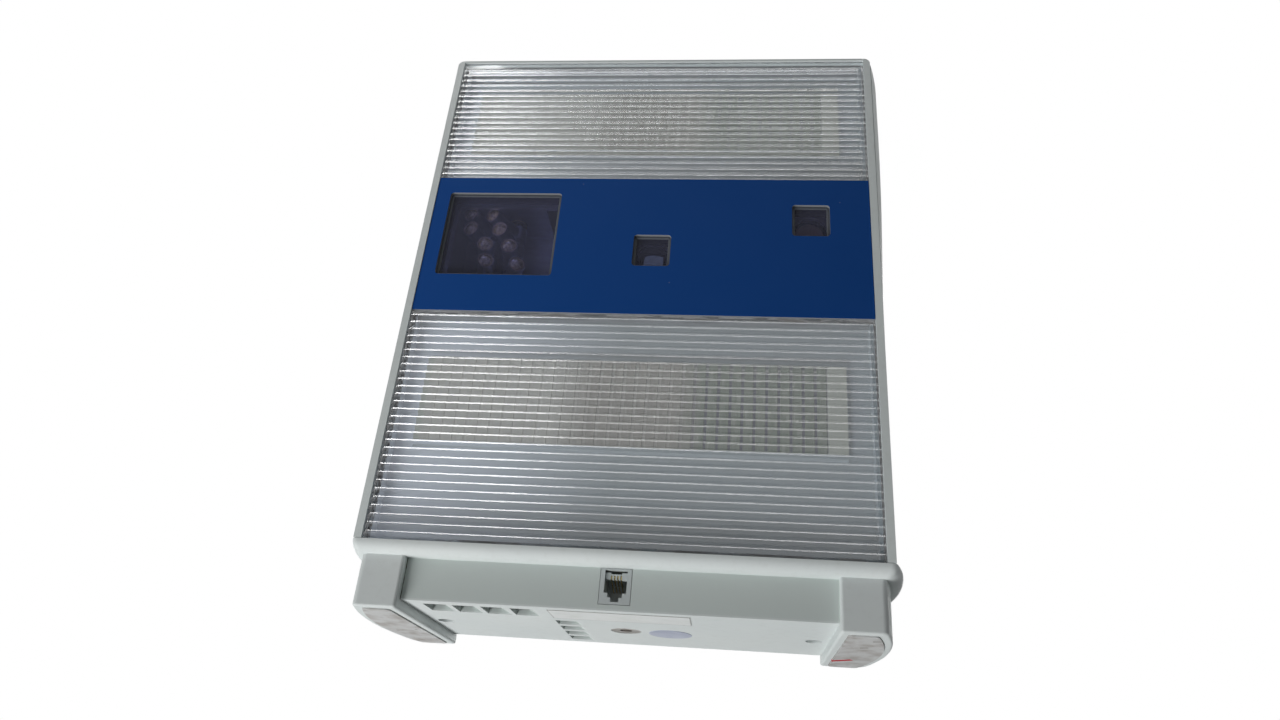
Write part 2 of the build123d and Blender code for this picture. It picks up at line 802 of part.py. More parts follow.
def involute_flank(base_radius, start_radius, tip_radius, steps):
    """(radius, turn) pairs along an involute; turn is in radians from its root."""
    pairs = []
    for n in range(steps + 1):
        radius = start_radius + (tip_radius - start_radius) * n / steps
        roll = math.acos(min(1.0, base_radius / radius))
        pairs.append((radius, math.tan(roll) - roll))
    return pairs


def gear_disc(teeth, bore_radius, tooth_angle):
    """Involute spur gear standing on Z = 0, with a tooth centred on tooth_angle (degrees)."""
    pitch_radius = gear_module * teeth / 2
    base_radius = pitch_radius * math.cos(math.radians(pressure_angle))
    root_radius = pitch_radius - 1.25 * gear_module
    tip_radius = pitch_radius + gear_module
    start_radius = max(base_radius, root_radius)
    alpha = math.radians(pressure_angle)
    half_tooth = (math.pi * gear_module - backlash) / (4 * pitch_radius) + math.tan(alpha) - alpha
    flank = involute_flank(base_radius, start_radius, tip_radius, 3)
    points = []
    for n in range(teeth):
        middle = math.radians(tooth_angle) + 2 * math.pi * n / teeth
        rising = [(root_radius, middle - half_tooth)]
        rising += [(radius, middle - half_tooth + turn) for radius, turn in flank]
        falling = [(radius, 2 * middle - angle) for radius, angle in reversed(rising)]
        points += [(r * math.cos(a), r * math.sin(a)) for r, a in rising + falling]
    profile = make_face(Polyline(*points, close=True))
    return extrude(profile, gear_thickness) - Cylinder(bore_radius, 4 * gear_thickness)


def mesh_angles():
    """Tooth angles that put both column gears and the pinion in mesh at rest."""
    drop = pinion_d - column_d
    to_pinion_left = math.degrees(math.atan2(drop, pinion_x - left_column_x))
    to_pinion_right = math.degrees(math.atan2(drop, pinion_x - right_column_x))
    pitch_angle = 360 / pinion_teeth
    space = to_pinion_left + 180
    off = (space - (to_pinion_right + 180)) % pitch_angle
    right_angle = to_pinion_right - off * pinion_teeth / column_teeth
    return to_pinion_left, right_angle, space + pitch_angle / 2


def column_gear(x, tooth_angle):
    disc = gear_disc(column_teeth, shaft_radius + shaft_fit, tooth_angle)
    return Pos(x, behind(column_d), gear_z) * disc


def motor_pinion(tooth_angle):
    disc = gear_disc(pinion_teeth, motor_shaft_radius + shaft_fit, tooth_angle)
    return Pos(pinion_x, behind(pinion_d), gear_z) * disc


def motor_shaft():
    low = frame_bottom_z - motor_height + 2 * motor_ear_thickness
    return upright(pinion_x, pinion_d, motor_shaft_radius, (low, gear_z + gear_thickness))


def laser_frame():
    """Folded bracket: two level plates that carry the bushes, and a web behind."""
    x_span = (pinion_x - frame_half_width, pinion_x + frame_half_width)
    d_span = (chassis_rear_d, frame_rear_d)
    low = block(x_span, d_span, (frame_bottom_z, frame_bottom_z + frame_plate))
    high = block(x_span, d_span, (frame_top_z - frame_plate, frame_top_z))
    web = block(x_span, (frame_rear_d - frame_plate, frame_rear_d), (frame_bottom_z, frame_top_z))
    frame = low + high + web
    bends = frame.edges().filter_by(Axis.X).sort_by(Axis.Y)[-2:]
    frame = fillet(bends, frame_plate * 0.9)
    for x in (left_column_x, right_column_x):
        frame -= upright(x, column_d, bush_radius + shaft_fit, (0, body_height))
    below = (0, frame_bottom_z + frame_plate + wall)
    frame -= upright(pinion_x, pinion_d, motor_boss_radius + insert_fit, below)
    for x in motor_screw_places():
        frame -= upright(x, pinion_d, motor_screw_radius + insert_fit, below)
    return frame


def column_bushes():
    """Four flanged bushes, one at each end of each shaft."""
    bushes = []
    for x in (left_column_x, right_column_x):
        low = (frame_bottom_z, frame_bottom_z + frame_plate)
        high = (frame_top_z - frame_plate, frame_top_z)
        lower = upright(x, column_d, bush_radius, low)
        lower += upright(x, column_d, bush_flange_radius, (low[1], low[1] + bush_flange))
        upper = upright(x, column_d, bush_radius, high)
        upper += upright(x, column_d, bush_flange_radius, (high[0] - bush_flange, high[0]))
        bore = upright(x, column_d, shaft_radius + running_fit, (0, body_height))
        bushes += [lower - bore, upper - bore]
    return Compound(bushes)


def motor_screw_places():
    return (pinion_x - motor_ear_x, pinion_x + motor_ear_x)


def stepper_motor():
    top = frame_bottom_z
    ear_z = top - motor_ear_thickness
    can = upright(pinion_x, pinion_d, motor_radius, (top - motor_height, top - motor_ear_thickness / 2))
    can = chamfer(can.edges().group_by(Axis.Z)[0], motor_ear_thickness / 2)
    boss = upright(pinion_x, pinion_d, motor_boss_radius, (ear_z, top + frame_plate * 0.8))
    ear_shape = SlotCenterToCenter(2 * motor_ear_x, 2 * motor_ear_radius)
    ears = Pos(pinion_x, behind(pinion_d), ear_z) * extrude(ear_shape, motor_ear_thickness)
    motor = can + boss + ears
    for x in motor_screw_places():
        motor -= upright(x, pinion_d, motor_screw_radius + shaft_fit, (0, body_height))
    bore = (top - motor_height + motor_ear_thickness, body_height)
    return motor - upright(pinion_x, pinion_d, motor_shaft_radius + running_fit, bore)


def motor_screws():
    plate_top = frame_bottom_z + frame_plate
    screws = []
    for x in motor_screw_places():
        head = upright(x, pinion_d, motor_screw_head_radius, (plate_top, plate_top + motor_screw_head))
        shank = upright(x, pinion_d, motor_screw_radius,
                        (frame_bottom_z - motor_ear_thickness, plate_top + motor_screw_head / 2))
        screws.append(head + shank)
    return Compound(screws)


# ---- electronics and ports

def main_board():
    board = block((-main_board_half_width, main_board_half_width), main_board_d, (board_z, board_top_z))
    for x, d in standoff_places():
        board -= upright(x, d, standoff_hole_radius, (0, body_height))
    return board


def standoff_places():
    x = main_board_half_width - standoff_inset
    near = main_board_d[0] + standoff_inset
    far = main_board_d[1] - 2 * standoff_inset
    return [(sx * x, d) for sx in (-1, 0, 1) for d in (near, far)]


def board_standoffs():
    pegs = []
    for x, d in standoff_places():
        peg = upright(x, d, standoff_radius, (flange_top_z, board_z))
        stud = upright(x, d, standoff_hole_radius - insert_fit, (board_z - wall, board_top_z + seam))
        pegs.append(peg + stud)
    return Compound(pegs)


def board_chips():
    """Processor, memory pair and driver chips, seated on the board."""
    chips = []
    for x, d, size in (processor, *small_chips):
        half = size / 2
        chips.append(block((x - half, x + half), (d - half, d + half),
                           (board_top_z, board_top_z + chip_height)))
    return Compound(chips)


def heat_sink():
    """Finned sink on the processor."""
    x, d = processor[:2]
    half = sink_size / 2
    low = board_top_z + chip_height
    sink = block((x - half, x + half), (d - half, d + half), (low, low + sink_base))
    pitch = (sink_size - sink_fin) / (sink_fins - 1)
    for n in range(sink_fins):
        left = x - half + n * pitch
        sink += block((left, left + sink_fin), (d - half, d + half), (low, low + sink_height))
    return sink


def usb_socket():
    half = usb_width / 2
    face = port_face_d
    low = board_top_z
    shell = block((usb_x - half, usb_x + half), (face - usb_depth, face), (low, low + usb_height))
    mouth_z = low + usb_height / 2
    mouth = block((usb_x - usb_mouth[0] / 2, usb_x + usb_mouth[0] / 2),
                  (face - usb_mouth_depth, body_depth),
                  (mouth_z - usb_mouth[1] / 2, mouth_z + usb_mouth[1] / 2))
    top = mouth.edges().filter_by(Axis.Y).group_by(Axis.Z)[-1]
    mouth = chamfer(top, usb_mouth[1] / 4)
    tongue = block((usb_x - usb_tongue[0] / 2, usb_x + usb_tongue[0] / 2),
                   (face - usb_mouth_depth - wall / 2, face - tongue_recess),
                   (mouth_z - usb_tongue[1] / 2, mouth_z + usb_tongue[1] / 2))
    return shell - mouth + tongue


def power_inlet():
    half = inlet_width / 2
    face = port_face_d
    low = board_top_z
    centre_z = low + inlet_height / 2
    shell = block((inlet_x - half, inlet_x + half), (face - inlet_depth, face),
                  (low, low + inlet_height))
    shell -= level(inlet_x, centre_z, inlet_bore_radius, (face - inlet_bore_depth, body_depth))
    return shell + level(inlet_x, centre_z, inlet_pin_radius,
                         (face - inlet_bore_depth - wall / 2, face - tongue_recess))


def power_switch_body():
    """Rocker switch case: body through the wall, flange outside it, open pocket."""
    case_d = (switch_body_d, port_plane_d)
    flange_d = (port_plane_d, port_plane_d + switch_flange_thickness)
    pocket_d = (switch_pocket_d, body_depth)
    case = window_prism((switch_x, switch_z, *switch_body), 0.0, case_d, port_gap)
    case += window_prism((switch_x, switch_z, *switch_flange), 0.0, flange_d, wall)
    case -= window_prism((switch_x, switch_z, *switch_pocket), 0.0, pocket_d, port_gap)
    pin_half = switch_pocket[1] / 2 + 0.8
    pin_room = (switch_z - pin_half - rocker_gap / 2, switch_z + pin_half + rocker_gap / 2)
    return case - upright(switch_x, rocker_pivot_d, rocker_pin_radius + running_fit, pin_room)


def power_rocker():
    """Rocker with its pivot pin, tilted to one side at rest."""
    tip = rocker_tip_d - rocker_pivot_d
    half = rocker_half_length
    dip = tip - rocker_dip
    points = [(-half, tip), (0, dip), (half, tip), (half * 0.8, 0), (half * 0.35, -rocker_keel),
              (-half * 0.35, -rocker_keel), (-half * 0.8, 0)]
    face = make_face(Polyline(*points, close=True))
    height = switch_pocket[1] - 2 * rocker_gap
    body = extrude(face, height / 2, both=True)
    pin_length = switch_pocket[1] + 1.6
    body += Cylinder(rocker_pin_radius, pin_length)
    return Pos(switch_x, behind(rocker_pivot_d), switch_z) * Rot(0, 0, rocker_rest_angle) * body


def jack_housing():
    half = jack_width / 2
    back = jack_front_d + jack_depth
    body = block((jack_x - half, jack_x + half), (jack_front_d, back), jack_z)
    mouth_d = (0, jack_front_d + jack_hole_depth)
    for width, low, high in jack_mouth:
        body -= block((jack_x - width / 2, jack_x + width / 2), mouth_d, (low, high))
    return body


def jack_contacts():
    """Sprung wires that slope down from the roof of the jack to its back wall."""
    front = behind(jack_front_d + jack_hole_depth * 0.15)
    rear = behind(jack_front_d + jack_hole_depth)
    thick = jack_contact_thickness
    wires = []
    for n in range(jack_contact_count):
        x = jack_x + (n - (jack_contact_count - 1) / 2) * jack_contact_pitch
        profile = Polyline((x, front, jack_contact_front_z),
                           (x, front, jack_contact_front_z - thick),
                           (x, rear, jack_contact_rear_z - thick),
                           (x, rear, jack_contact_rear_z), close=True)
        wires.append(Pos(-jack_contact_width / 2, 0, 0)
                     * extrude(make_face(profile), jack_contact_width, dir=(1, 0, 0)))
    return Compound(wires)


# ---- cooling fan

def fan_frame():
    """Square frame with a round duct, spider arms and the axle."""
    d_span = (rear_inner_d - fan_depth, rear_inner_d)
    half = fan_size / 2
    frame = block((fan_x - half, fan_x + half), d_span, (fan_z - half, fan_z + half))
    frame = fillet(frame.edges().filter_by(Axis.Y), fan_corner_radius)
    frame -= level(fan_x, fan_z, fan_bore_radius, d_span)
    spider_d = (d_span[0], d_span[0] + fan_spider_depth)
    spider = level(fan_x, fan_z, fan_boss_radius, spider_d)
    for turn in range(4):
        arm = Pos(fan_bore_radius / 2 + fan_boss_radius / 4, 0, 0) * Box(
            fan_bore_radius + wall - fan_boss_radius / 2, fan_spider_depth, fan_arm_width)
        spider += Pos(fan_x, behind(sum(spider_d) / 2), fan_z) * Rot(0, 45 + 90 * turn, 0) * arm
    axle = level(fan_x, fan_z, fan_axle_radius, (d_span[0], d_span[1] - 2 * wall))
    frame += spider + axle
    for x, z in fan_screw_places():
        frame -= level(x, z, screw_radius + shaft_fit, d_span)
    return frame


def fan_rotor():
    """Hub with twisted blades, bored for the axle."""
    hub_start = rear_inner_d - fan_depth + fan_spider_depth + fan_float
    hub = Pos(0, 0, fan_hub_depth / 2) * Cylinder(fan_hub_radius, fan_hub_depth)
    hub = fillet(hub.edges().group_by(Axis.Z)[-1], wall)
    tip_radius = fan_bore_radius - fan_tip_gap
    root = blade_section(fan_hub_radius - wall, fan_blade_angles[0], 0.75)
    tip = blade_section(tip_radius, fan_blade_angles[1], 1.0)
    blade = loft([root, tip])
    rotor = hub
    for n in range(fan_blades):
        rotor += Rot(0, 0, 360 * n / fan_blades) * blade
    rotor -= Cylinder(fan_axle_radius + running_fit, 4 * fan_hub_depth)
    rotor &= Cylinder(tip_radius, 4 * fan_hub_depth)
    return Pos(fan_x, behind(hub_start), fan_z) * Rot(-90, 0, 0) * rotor


def blade_section(radius, pitch, chord_share):
    """Thin rounded section of a blade, square to the radius, at half the hub's depth."""
    plane = Plane(origin=(radius, 0, fan_hub_depth / 2), x_dir=(0, 1, 0), z_dir=(1, 0, 0))
    shape = Rot(0, 0, pitch) * Rectangle(fan_blade_chord * chord_share, fan_blade)
    return (plane * shape).face()


def fan_screws():
    """Four screws with their heads sunk in the rear wall."""
    screws = []
    for x, z in fan_screw_places():
        head = level(x, z, screw_head_radius, (fan_screw_seat_d, fan_screw_seat_d + fan_screw_head))
        shank = level(x, z, screw_radius,
                      (fan_screw_seat_d - fan_screw_length, fan_screw_seat_d + fan_screw_head / 2))
        screws.append(head + shank)
    return Compound(screws)


# ---- write one file per sub-part

left_rows = column_rows(laser_window[1] + left_row_rise, left_row_pitch, left_angles)
right_rows = column_rows(laser_window[1] + right_row_rise, right_row_pitch, right_angles)
left_tooth, right_tooth, pinion_tooth = mesh_angles()
centre_camera = camera(centre_window, centre_lens_d)
right_camera = camera(right_window, right_lens_d)

pieces = {
    "rear_housing": rear_housing(),
    "base_moulding": base_moulding(),
    "left_side_rail": side_rail(-1),
    "right_side_rail": side_rail(1),
    "upper_ribbed_panel": ribbed_panel(band_z[1] + seam, panel_top_z),
    "lower_ribbed_panel": ribbed_panel(housing_bottom_z, band_z[0] - seam),
    "band_panel": band_panel(),
    "laser_window_pane": window_pane(laser_window),
    "centre_camera_pane": window_pane(centre_window),
    "right_camera_pane": window_pane(right_window),
    "laser_window_hood": window_hood(laser_window),
    "camera_window_hoods": Compound([window_hood(centre_window), window_hood(right_window)]),
    "upper_light_tray": light_tray(band_z[1] + seam, body_height - top_wall - seam),
    "lower_light_tray": light_tray(housing_bottom_z, band_z[0] - seam),
    "upper_led_board": led_board(upper_board_z),
    "lower_led_board": led_board(lower_board_z),
    "chassis": chassis(),
    "centre_camera_body": centre_camera[0],
    "centre_camera_board": centre_camera[1],
    "centre_camera_lens": centre_camera[2],
    "right_camera_body": right_camera[0],
    "right_camera_board": right_camera[1],
    "right_camera_lens": right_camera[2],
    "laser_frame": laser_frame(),
    "column_bushes": column_bushes(),
    "left_column_shaft": column_shaft(left_column_x),
    "right_column_shaft": column_shaft(right_column_x),
    "left_laser_modules": laser_modules(left_column_x, left_rows),
    "right_laser_modules": laser_modules(right_column_x, right_rows),
    "left_laser_lenses": laser_lenses(left_column_x, left_rows),
    "right_laser_lenses": laser_lenses(right_column_x, right_rows),
    "left_column_gear": column_gear(left_column_x, left_tooth),
    "right_column_gear": column_gear(right_column_x, right_tooth),
    "motor_pinion": motor_pinion(pinion_tooth),
    "motor_shaft": motor_shaft(),
    "stepper_motor": stepper_motor(),
    "motor_screws": motor_screws(),
    "main_board": main_board(),
    "board_standoffs": board_standoffs(),
    "board_chips": board_chips(),
    "heat_sink": heat_sink(),
    "usb_socket": usb_socket(),
    "power_inlet": power_inlet(),
    "power_switch_body": power_switch_body(),
    "power_rocker": power_rocker(),
    "fan_frame": fan_frame(),
    "fan_rotor": fan_rotor(),
    "fan_screws": fan_screws(),
    "jack_housing": jack_housing(),
    "jack_contacts": jack_contacts(),
    "left_foot_pad": foot_pad(-1),
    "right_foot_pad": foot_pad(1),
    "tripod_insert": tripod_insert(),
    "base_screws": base_screws(),
    "blank_label": blank_label(),
    "round_sticker": round_sticker(),
}

os.makedirs("parts", exist_ok=True)
for name, shape in pieces.items():
    export_step(shape, f"parts/{name}.step")
print(len(pieces), "parts written")
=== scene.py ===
import math

import bmesh
import bpy
import numpy as np
from mathutils import Matrix, Vector


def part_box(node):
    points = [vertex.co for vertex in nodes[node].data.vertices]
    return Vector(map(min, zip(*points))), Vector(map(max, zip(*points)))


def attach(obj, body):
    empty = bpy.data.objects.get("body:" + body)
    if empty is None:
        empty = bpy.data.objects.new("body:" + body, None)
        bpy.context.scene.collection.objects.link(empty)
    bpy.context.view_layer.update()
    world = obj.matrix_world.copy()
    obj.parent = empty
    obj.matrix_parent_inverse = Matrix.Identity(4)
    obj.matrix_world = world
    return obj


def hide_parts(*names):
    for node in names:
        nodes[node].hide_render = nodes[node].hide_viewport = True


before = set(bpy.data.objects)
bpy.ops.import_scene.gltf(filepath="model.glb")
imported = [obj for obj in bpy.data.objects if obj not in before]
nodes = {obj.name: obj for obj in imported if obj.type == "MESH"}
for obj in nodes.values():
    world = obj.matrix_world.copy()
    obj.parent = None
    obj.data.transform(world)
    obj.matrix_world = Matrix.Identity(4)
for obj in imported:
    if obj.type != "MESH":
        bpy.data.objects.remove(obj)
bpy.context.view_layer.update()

print("frame loaded:", len(nodes), "nodes")


cameraSettings = {
    "place": (0.04550, -0.37671, -0.05842),
    "forward": (-0.09837, 0.89023, 0.44477),
    "up": (-0.02675, -0.44914, 0.89306),
    "lens": 24.87, "sensor": 36.0, "shiftX": -0.0114, "clipStart": 0.01,
}


def addCamera(settings):
    data = bpy.data.cameras.new("viewCamera")
    data.lens = settings["lens"]
    data.sensor_width = settings["sensor"]
    data.shift_x = settings["shiftX"]
    data.clip_start = settings["clipStart"]
    camera = bpy.data.objects.new("viewCamera", data)
    bpy.context.scene.collection.objects.link(camera)
    forward = Vector(settings["forward"]).normalized()
    right = forward.cross(Vector(settings["up"])).normalized()
    up = right.cross(forward)
    turn = Matrix((right, up, -forward)).transposed()
    camera.matrix_world = Matrix.Translation(Vector(settings["place"])) @ turn.to_4x4()
    bpy.context.scene.camera = camera
    bpy.context.scene.view_settings.view_transform = "Standard"


softBoxes = {
    "lowKey": {"place": (-0.54, -0.42, -0.90), "size": (0.6, 0.4), "watts": 10.6},
    "leftBox": {"place": (-0.52, -0.50, 0.28), "size": (0.4, 0.4), "watts": 0.5},
    "topBox": {"place": (0.15, 0.35, 1.25), "size": (0.9, 0.9), "watts": 9.0},
    "rearBox": {"place": (0.25, 1.20, 0.55), "size": (0.8, 0.8), "watts": 7.0},
    "sideBox": {"place": (1.30, 0.10, 0.30), "size": (0.8, 0.8), "watts": 1.3},
    "frontStrip": {"place": (-0.16, -0.62, 1.22), "size": (1.1, 0.24), "watts": 3.1, "glossOnly": True},
    "leftStrip": {"place": (-0.44, -0.56, 1.06), "size": (0.36, 0.26), "watts": 1.85, "glossOnly": True},
}
lampTarget = (0.0, 0.0, 0.13)


def addSoftBoxes(boxes, target):
    for name, box in boxes.items():
        data = bpy.data.lights.new(name, "AREA")
        data.shape = "RECTANGLE"
        data.size, data.size_y = box["size"]
        data.energy = box["watts"]
        lamp = bpy.data.objects.new(name, data)
        lamp.visible_diffuse = not box.get("glossOnly", False)  # a strip that only gives highlights
        bpy.context.scene.collection.objects.link(lamp)
        place = Vector(box["place"])
        turn = (Vector(target) - place).to_track_quat("-Z", "Y")
        lamp.matrix_world = Matrix.Translation(place) @ turn.to_matrix().to_4x4()


class NodeTree:
    # a node tree being built; a socket takes a number, a colour or another node's output

    def __init__(self, tree):
        self.tree = tree
        self.tree.nodes.clear()

    def add(self, kind, **values):
        node = self.tree.nodes.new(kind)
        for key, value in values.items():
            setattr(node, key, value)
        return node

    def link(self, start, end):
        self.tree.links.new(start, end)

    def feed(self, socket, value):
        if isinstance(value, bpy.types.NodeSocket):
            self.link(value, socket)
        elif socket.type == "RGBA":
            socket.default_value = (*value, 1)
        else:
            socket.default_value = value

    def math(self, operation, a, b=0.0, c=0.0):
        node = self.add("ShaderNodeMath", operation=operation)
        for socket, value in zip(node.inputs, (a, b, c)):
            self.feed(socket, value)
        return node.outputs[0]

    def product(self, first, *others):
        for other in others:
            first = self.math("MULTIPLY", first, other)
        return first

    def ramp(self, value, low, high, first=0.0, last=1.0, smooth=False):
        # from first to last as the value goes from low to high
        node = self.add("ShaderNodeMapRange")
        if smooth:
            node.interpolation_type = "SMOOTHSTEP"
        limits = {"From Min": low, "From Max": high, "To Min": first, "To Max": last}
        for key, number in limits.items():
            node.inputs[key].default_value = number
        self.link(value, node.inputs["Value"])
        return node.outputs[0]

    def layered(self, share, under, over):
        # one shader over another
        node = self.add("ShaderNodeMixShader")
        for socket, value in zip(node.inputs, (share, under, over)):
            self.link(value, socket)
        return node.outputs[0]


worldLight = {"backdrop": 1.0, "mirrored": 0.74, "fill": 0.11, "fillColour": (0.97, 0.99, 1.0)}
floorLook = {"radius": 0.9, "sides": 96, "clearFrom": 0.32, "clearTo": 0.62, "colour": (0.86, 0.87, 0.88)}


def addWorld(light):
    # white for the camera, a pale grey for metal and glass, and a plain fill for everything else
    world = bpy.data.worlds.new("studioWorld")
    bpy.context.scene.world = world
    world.use_nodes = True
    tree = NodeTree(world.node_tree)
    path = tree.add("ShaderNodeLightPath").outputs
    seen = tree.math("MAXIMUM", path["Is Camera Ray"], path["Is Glossy Ray"])
    seen = tree.math("MAXIMUM", seen, path["Is Transmission Ray"])
    fill = tree.add("ShaderNodeBackground")
    tree.feed(fill.inputs["Color"], light["fillColour"])
    tree.feed(fill.inputs["Strength"], light["fill"])
    backdrop = tree.add("ShaderNodeBackground")
    tree.feed(backdrop.inputs["Color"], (1, 1, 1))
    strength = tree.ramp(path["Is Camera Ray"], 0.0, 1.0, light["mirrored"], light["backdrop"])
    tree.feed(backdrop.inputs["Strength"], strength)
    out = tree.add("ShaderNodeOutputWorld")
    tree.link(tree.layered(seen, fill.outputs[0], backdrop.outputs[0]), out.inputs[0])


def addFloor(look):
    # a disc that is clear from below and towards its rim, so that it ends in the white backdrop;
    # it takes the shadow, but shades and lights nothing itself
    angle = np.linspace(0, 2 * math.pi, look["sides"], endpoint=False)
    rim = np.stack([np.cos(angle), np.sin(angle), 0 * angle], 1) * look["radius"]
    mesh = bpy.data.meshes.new("studioFloor")
    mesh.from_pydata(rim.tolist(), [], [list(range(look["sides"]))])
    floor = bpy.data.objects.new("studioFloor", mesh)
    bpy.context.scene.collection.objects.link(floor)
    floor.visible_shadow = False
    floor.visible_diffuse = False
    material = bpy.data.materials.new("studioFloor")
    material.use_nodes = True
    tree = NodeTree(material.node_tree)
    reach = tree.add("ShaderNodeVectorMath", operation="LENGTH")
    tree.link(tree.add("ShaderNodeTexCoord").outputs["Object"], reach.inputs[0])
    fade = tree.ramp(reach.outputs["Value"], look["clearFrom"], look["clearTo"], smooth=True)
    fromBelow = tree.add("ShaderNodeNewGeometry").outputs["Backfacing"]
    paint = tree.add("ShaderNodeBsdfDiffuse")
    tree.feed(paint.inputs["Color"], look["colour"])
    clear = tree.add("ShaderNodeBsdfTransparent")
    out = tree.add("ShaderNodeOutputMaterial")
    share = tree.math("MAXIMUM", fade, fromBelow)
    tree.link(tree.layered(share, paint.outputs[0], clear.outputs[0]), out.inputs[0])
    mesh.materials.append(material)


addCamera(cameraSettings)
addSoftBoxes(softBoxes, lampTarget)
addWorld(worldLight)
addFloor(floorLook)
print("camera, soft boxes and floor placed")


class Finish(NodeTree):
    # a material with one shader, whose patterns lie on the object coordinates

    def __init__(self, name, roughness=0.5, level=0.5, ior=1.5):
        self.material = bpy.data.materials.new(name)
        self.material.use_nodes = True
        super().__init__(self.material.node_tree)
        self.out = self.add("ShaderNodeOutputMaterial")
        self.shader = self.add("ShaderNodeBsdfPrincipled")
        self.set("Roughness", roughness)
        self.set("Specular IOR Level", level)
        self.set("IOR", ior)
        self.link(self.shader.outputs[0], self.out.inputs["Surface"])
        self.coords = self.add("ShaderNodeTexCoord").outputs["Object"]

    def set(self, socket, value):
        # a constant on the shader's own socket, or a link from another node
        self.feed(self.shader.inputs[socket], value)

    def axis(self, name):
        split = self.add("ShaderNodeSeparateXYZ")
        self.link(self.coords, split.inputs[0])
        return split.outputs[name]

    def above(self, axis, limit):
        # 1 where the coordinate is over the limit, else 0
        return self.math("GREATER_THAN", self.axis(axis), limit)

    def below(self, axis, limit):
        return self.math("LESS_THAN", self.axis(axis), limit)

    def within(self, axis, place, reach):
        # 1 up to the reach on both sides of a place, else 0
        away = self.math("ABSOLUTE", self.math("SUBTRACT", self.axis(axis), place))
        return self.math("LESS_THAN", away, reach)

    def noise(self, scale, detail=3.0, low=0.35, high=0.65, stretch=None, rough=0.55, warp=0.0):
        # clouds from 0 to 1; low and high are the raw values that become 0 and 1
        node = self.add("ShaderNodeTexNoise")
        settings = {"Scale": scale, "Detail": detail, "Roughness": rough, "Distortion": warp}
        for key, number in settings.items():
            node.inputs[key].default_value = number
        place = self.coords
        if stretch:
            mapping = self.add("ShaderNodeMapping")
            mapping.inputs["Scale"].default_value = stretch
            self.link(self.coords, mapping.inputs["Vector"])
            place = mapping.outputs[0]
        self.link(place, node.inputs["Vector"])
        return self.ramp(node.outputs["Fac"], low, high)

    def specks(self, scale, size, share, core=0.7):
        # dots at a share of the cells of a cell pattern, full up to core of their size
        node = self.add("ShaderNodeTexVoronoi")
        node.inputs["Scale"].default_value = scale
        self.link(self.coords, node.inputs["Vector"])
        near = self.ramp(node.outputs["Distance"], size * core, size, 1.0, 0.0)
        split = self.add("ShaderNodeSeparateColor")
        self.link(node.outputs["Color"], split.inputs[0])
        return self.product(near, self.math("LESS_THAN", split.outputs[0], share))

    def mixed(self, share, first, second):
        node = self.add("ShaderNodeMix", data_type="RGBA")
        sockets = node.inputs["Factor"], node.inputs[6], node.inputs[7]
        for socket, value in zip(sockets, (share, first, second)):
            self.feed(socket, value)
        return node.outputs[2]

    def over(self, colour, pattern, cover, other):
        # the other colour laid on where the pattern is, by the share that cover gives
        return self.mixed(self.product(pattern, cover), colour, other)

    def roughen(self, pattern, low, high, full=1.0):
        # roughness from low to high as the pattern goes from 0 to full
        self.set("Roughness", self.ramp(pattern, 0.0, full, low, high))

    def bump(self, height, strength, distance):
        node = self.add("ShaderNodeBump")
        node.inputs["Strength"].default_value = strength
        node.inputs["Distance"].default_value = distance
        self.link(height, node.inputs["Height"])
        self.set("Normal", node.outputs[0])

    def letLampsThrough(self, tint):
        # lamps and bounced light pass straight through, so that what lies behind is lit
        path = self.add("ShaderNodeLightPath").outputs
        through = self.math("MAXIMUM", path["Is Shadow Ray"], path["Is Diffuse Ray"])
        clear = self.add("ShaderNodeBsdfTransparent")
        self.feed(clear.inputs[0], tint)
        shown = self.layered(through, self.shader.outputs[0], clear.outputs[0])
        self.link(shown, self.out.inputs["Surface"])


def mouldedPlastic(name, look, marks=None):
    # a moulded plastic: two near shades in soft clouds, fine grain, dust and a few dark specks,
    # with the painted light, painted shade and other marks that only one moulding has
    finish = Finish(name, level=look["level"])
    clouds = finish.noise(look["cloudScale"], look["cloudDetail"])
    colour = finish.mixed(clouds, look["colour"], look["shade"])
    colour = finish.over(colour, finish.noise(**look["dusting"]), look["dust"], look["dustColour"])
    if look["speckShare"] > 0:
        dots = finish.specks(look["speckScale"], look["speckSize"], look["speckShare"])
        colour = finish.over(colour, dots, look["speckCover"], look["speckColour"])
    # painted light and shade, and other marks, that only one moulding has
    if marks:
        colour = marks(finish, colour, look)
    finish.set("Base Color", colour)
    finish.roughen(finish.noise(**look["wear"]), *look["roughness"])
    finish.bump(finish.noise(**look["grain"]), *look["relief"])
    return finish.material


def baseShadeAndCrease(finish, colour, look):
    # painted shade: a greyer film at the feet's height on the recessed front between them, but
    # not on their fronts; and a dark line in the corner beside the left foot
    y, z = finish.axis("Y"), finish.axis("Z")
    # painted shade over the recessed plinth front
    film = finish.product(finish.ramp(y, *look["shadeFilmDepth"], smooth=True),
                          finish.ramp(z, *look["shadeFilmFoot"], smooth=True),
                          finish.ramp(z, *look["shadeFilmTop"], 1.0, 0.0, smooth=True))
    colour = finish.mixed(film, colour, look["film"])
    # a dark line along the corner beside the left foot, broken up by noise
    crease = finish.product(finish.within("X", look["creaseX"], look["creaseSize"]),
                            finish.within("Y", look["creaseY"], look["creaseSize"] * 2),
                            finish.above("Z", look["creaseFoot"]), finish.noise(**look["creaseBreaks"]))
    return finish.mixed(crease, colour, look["crease"])


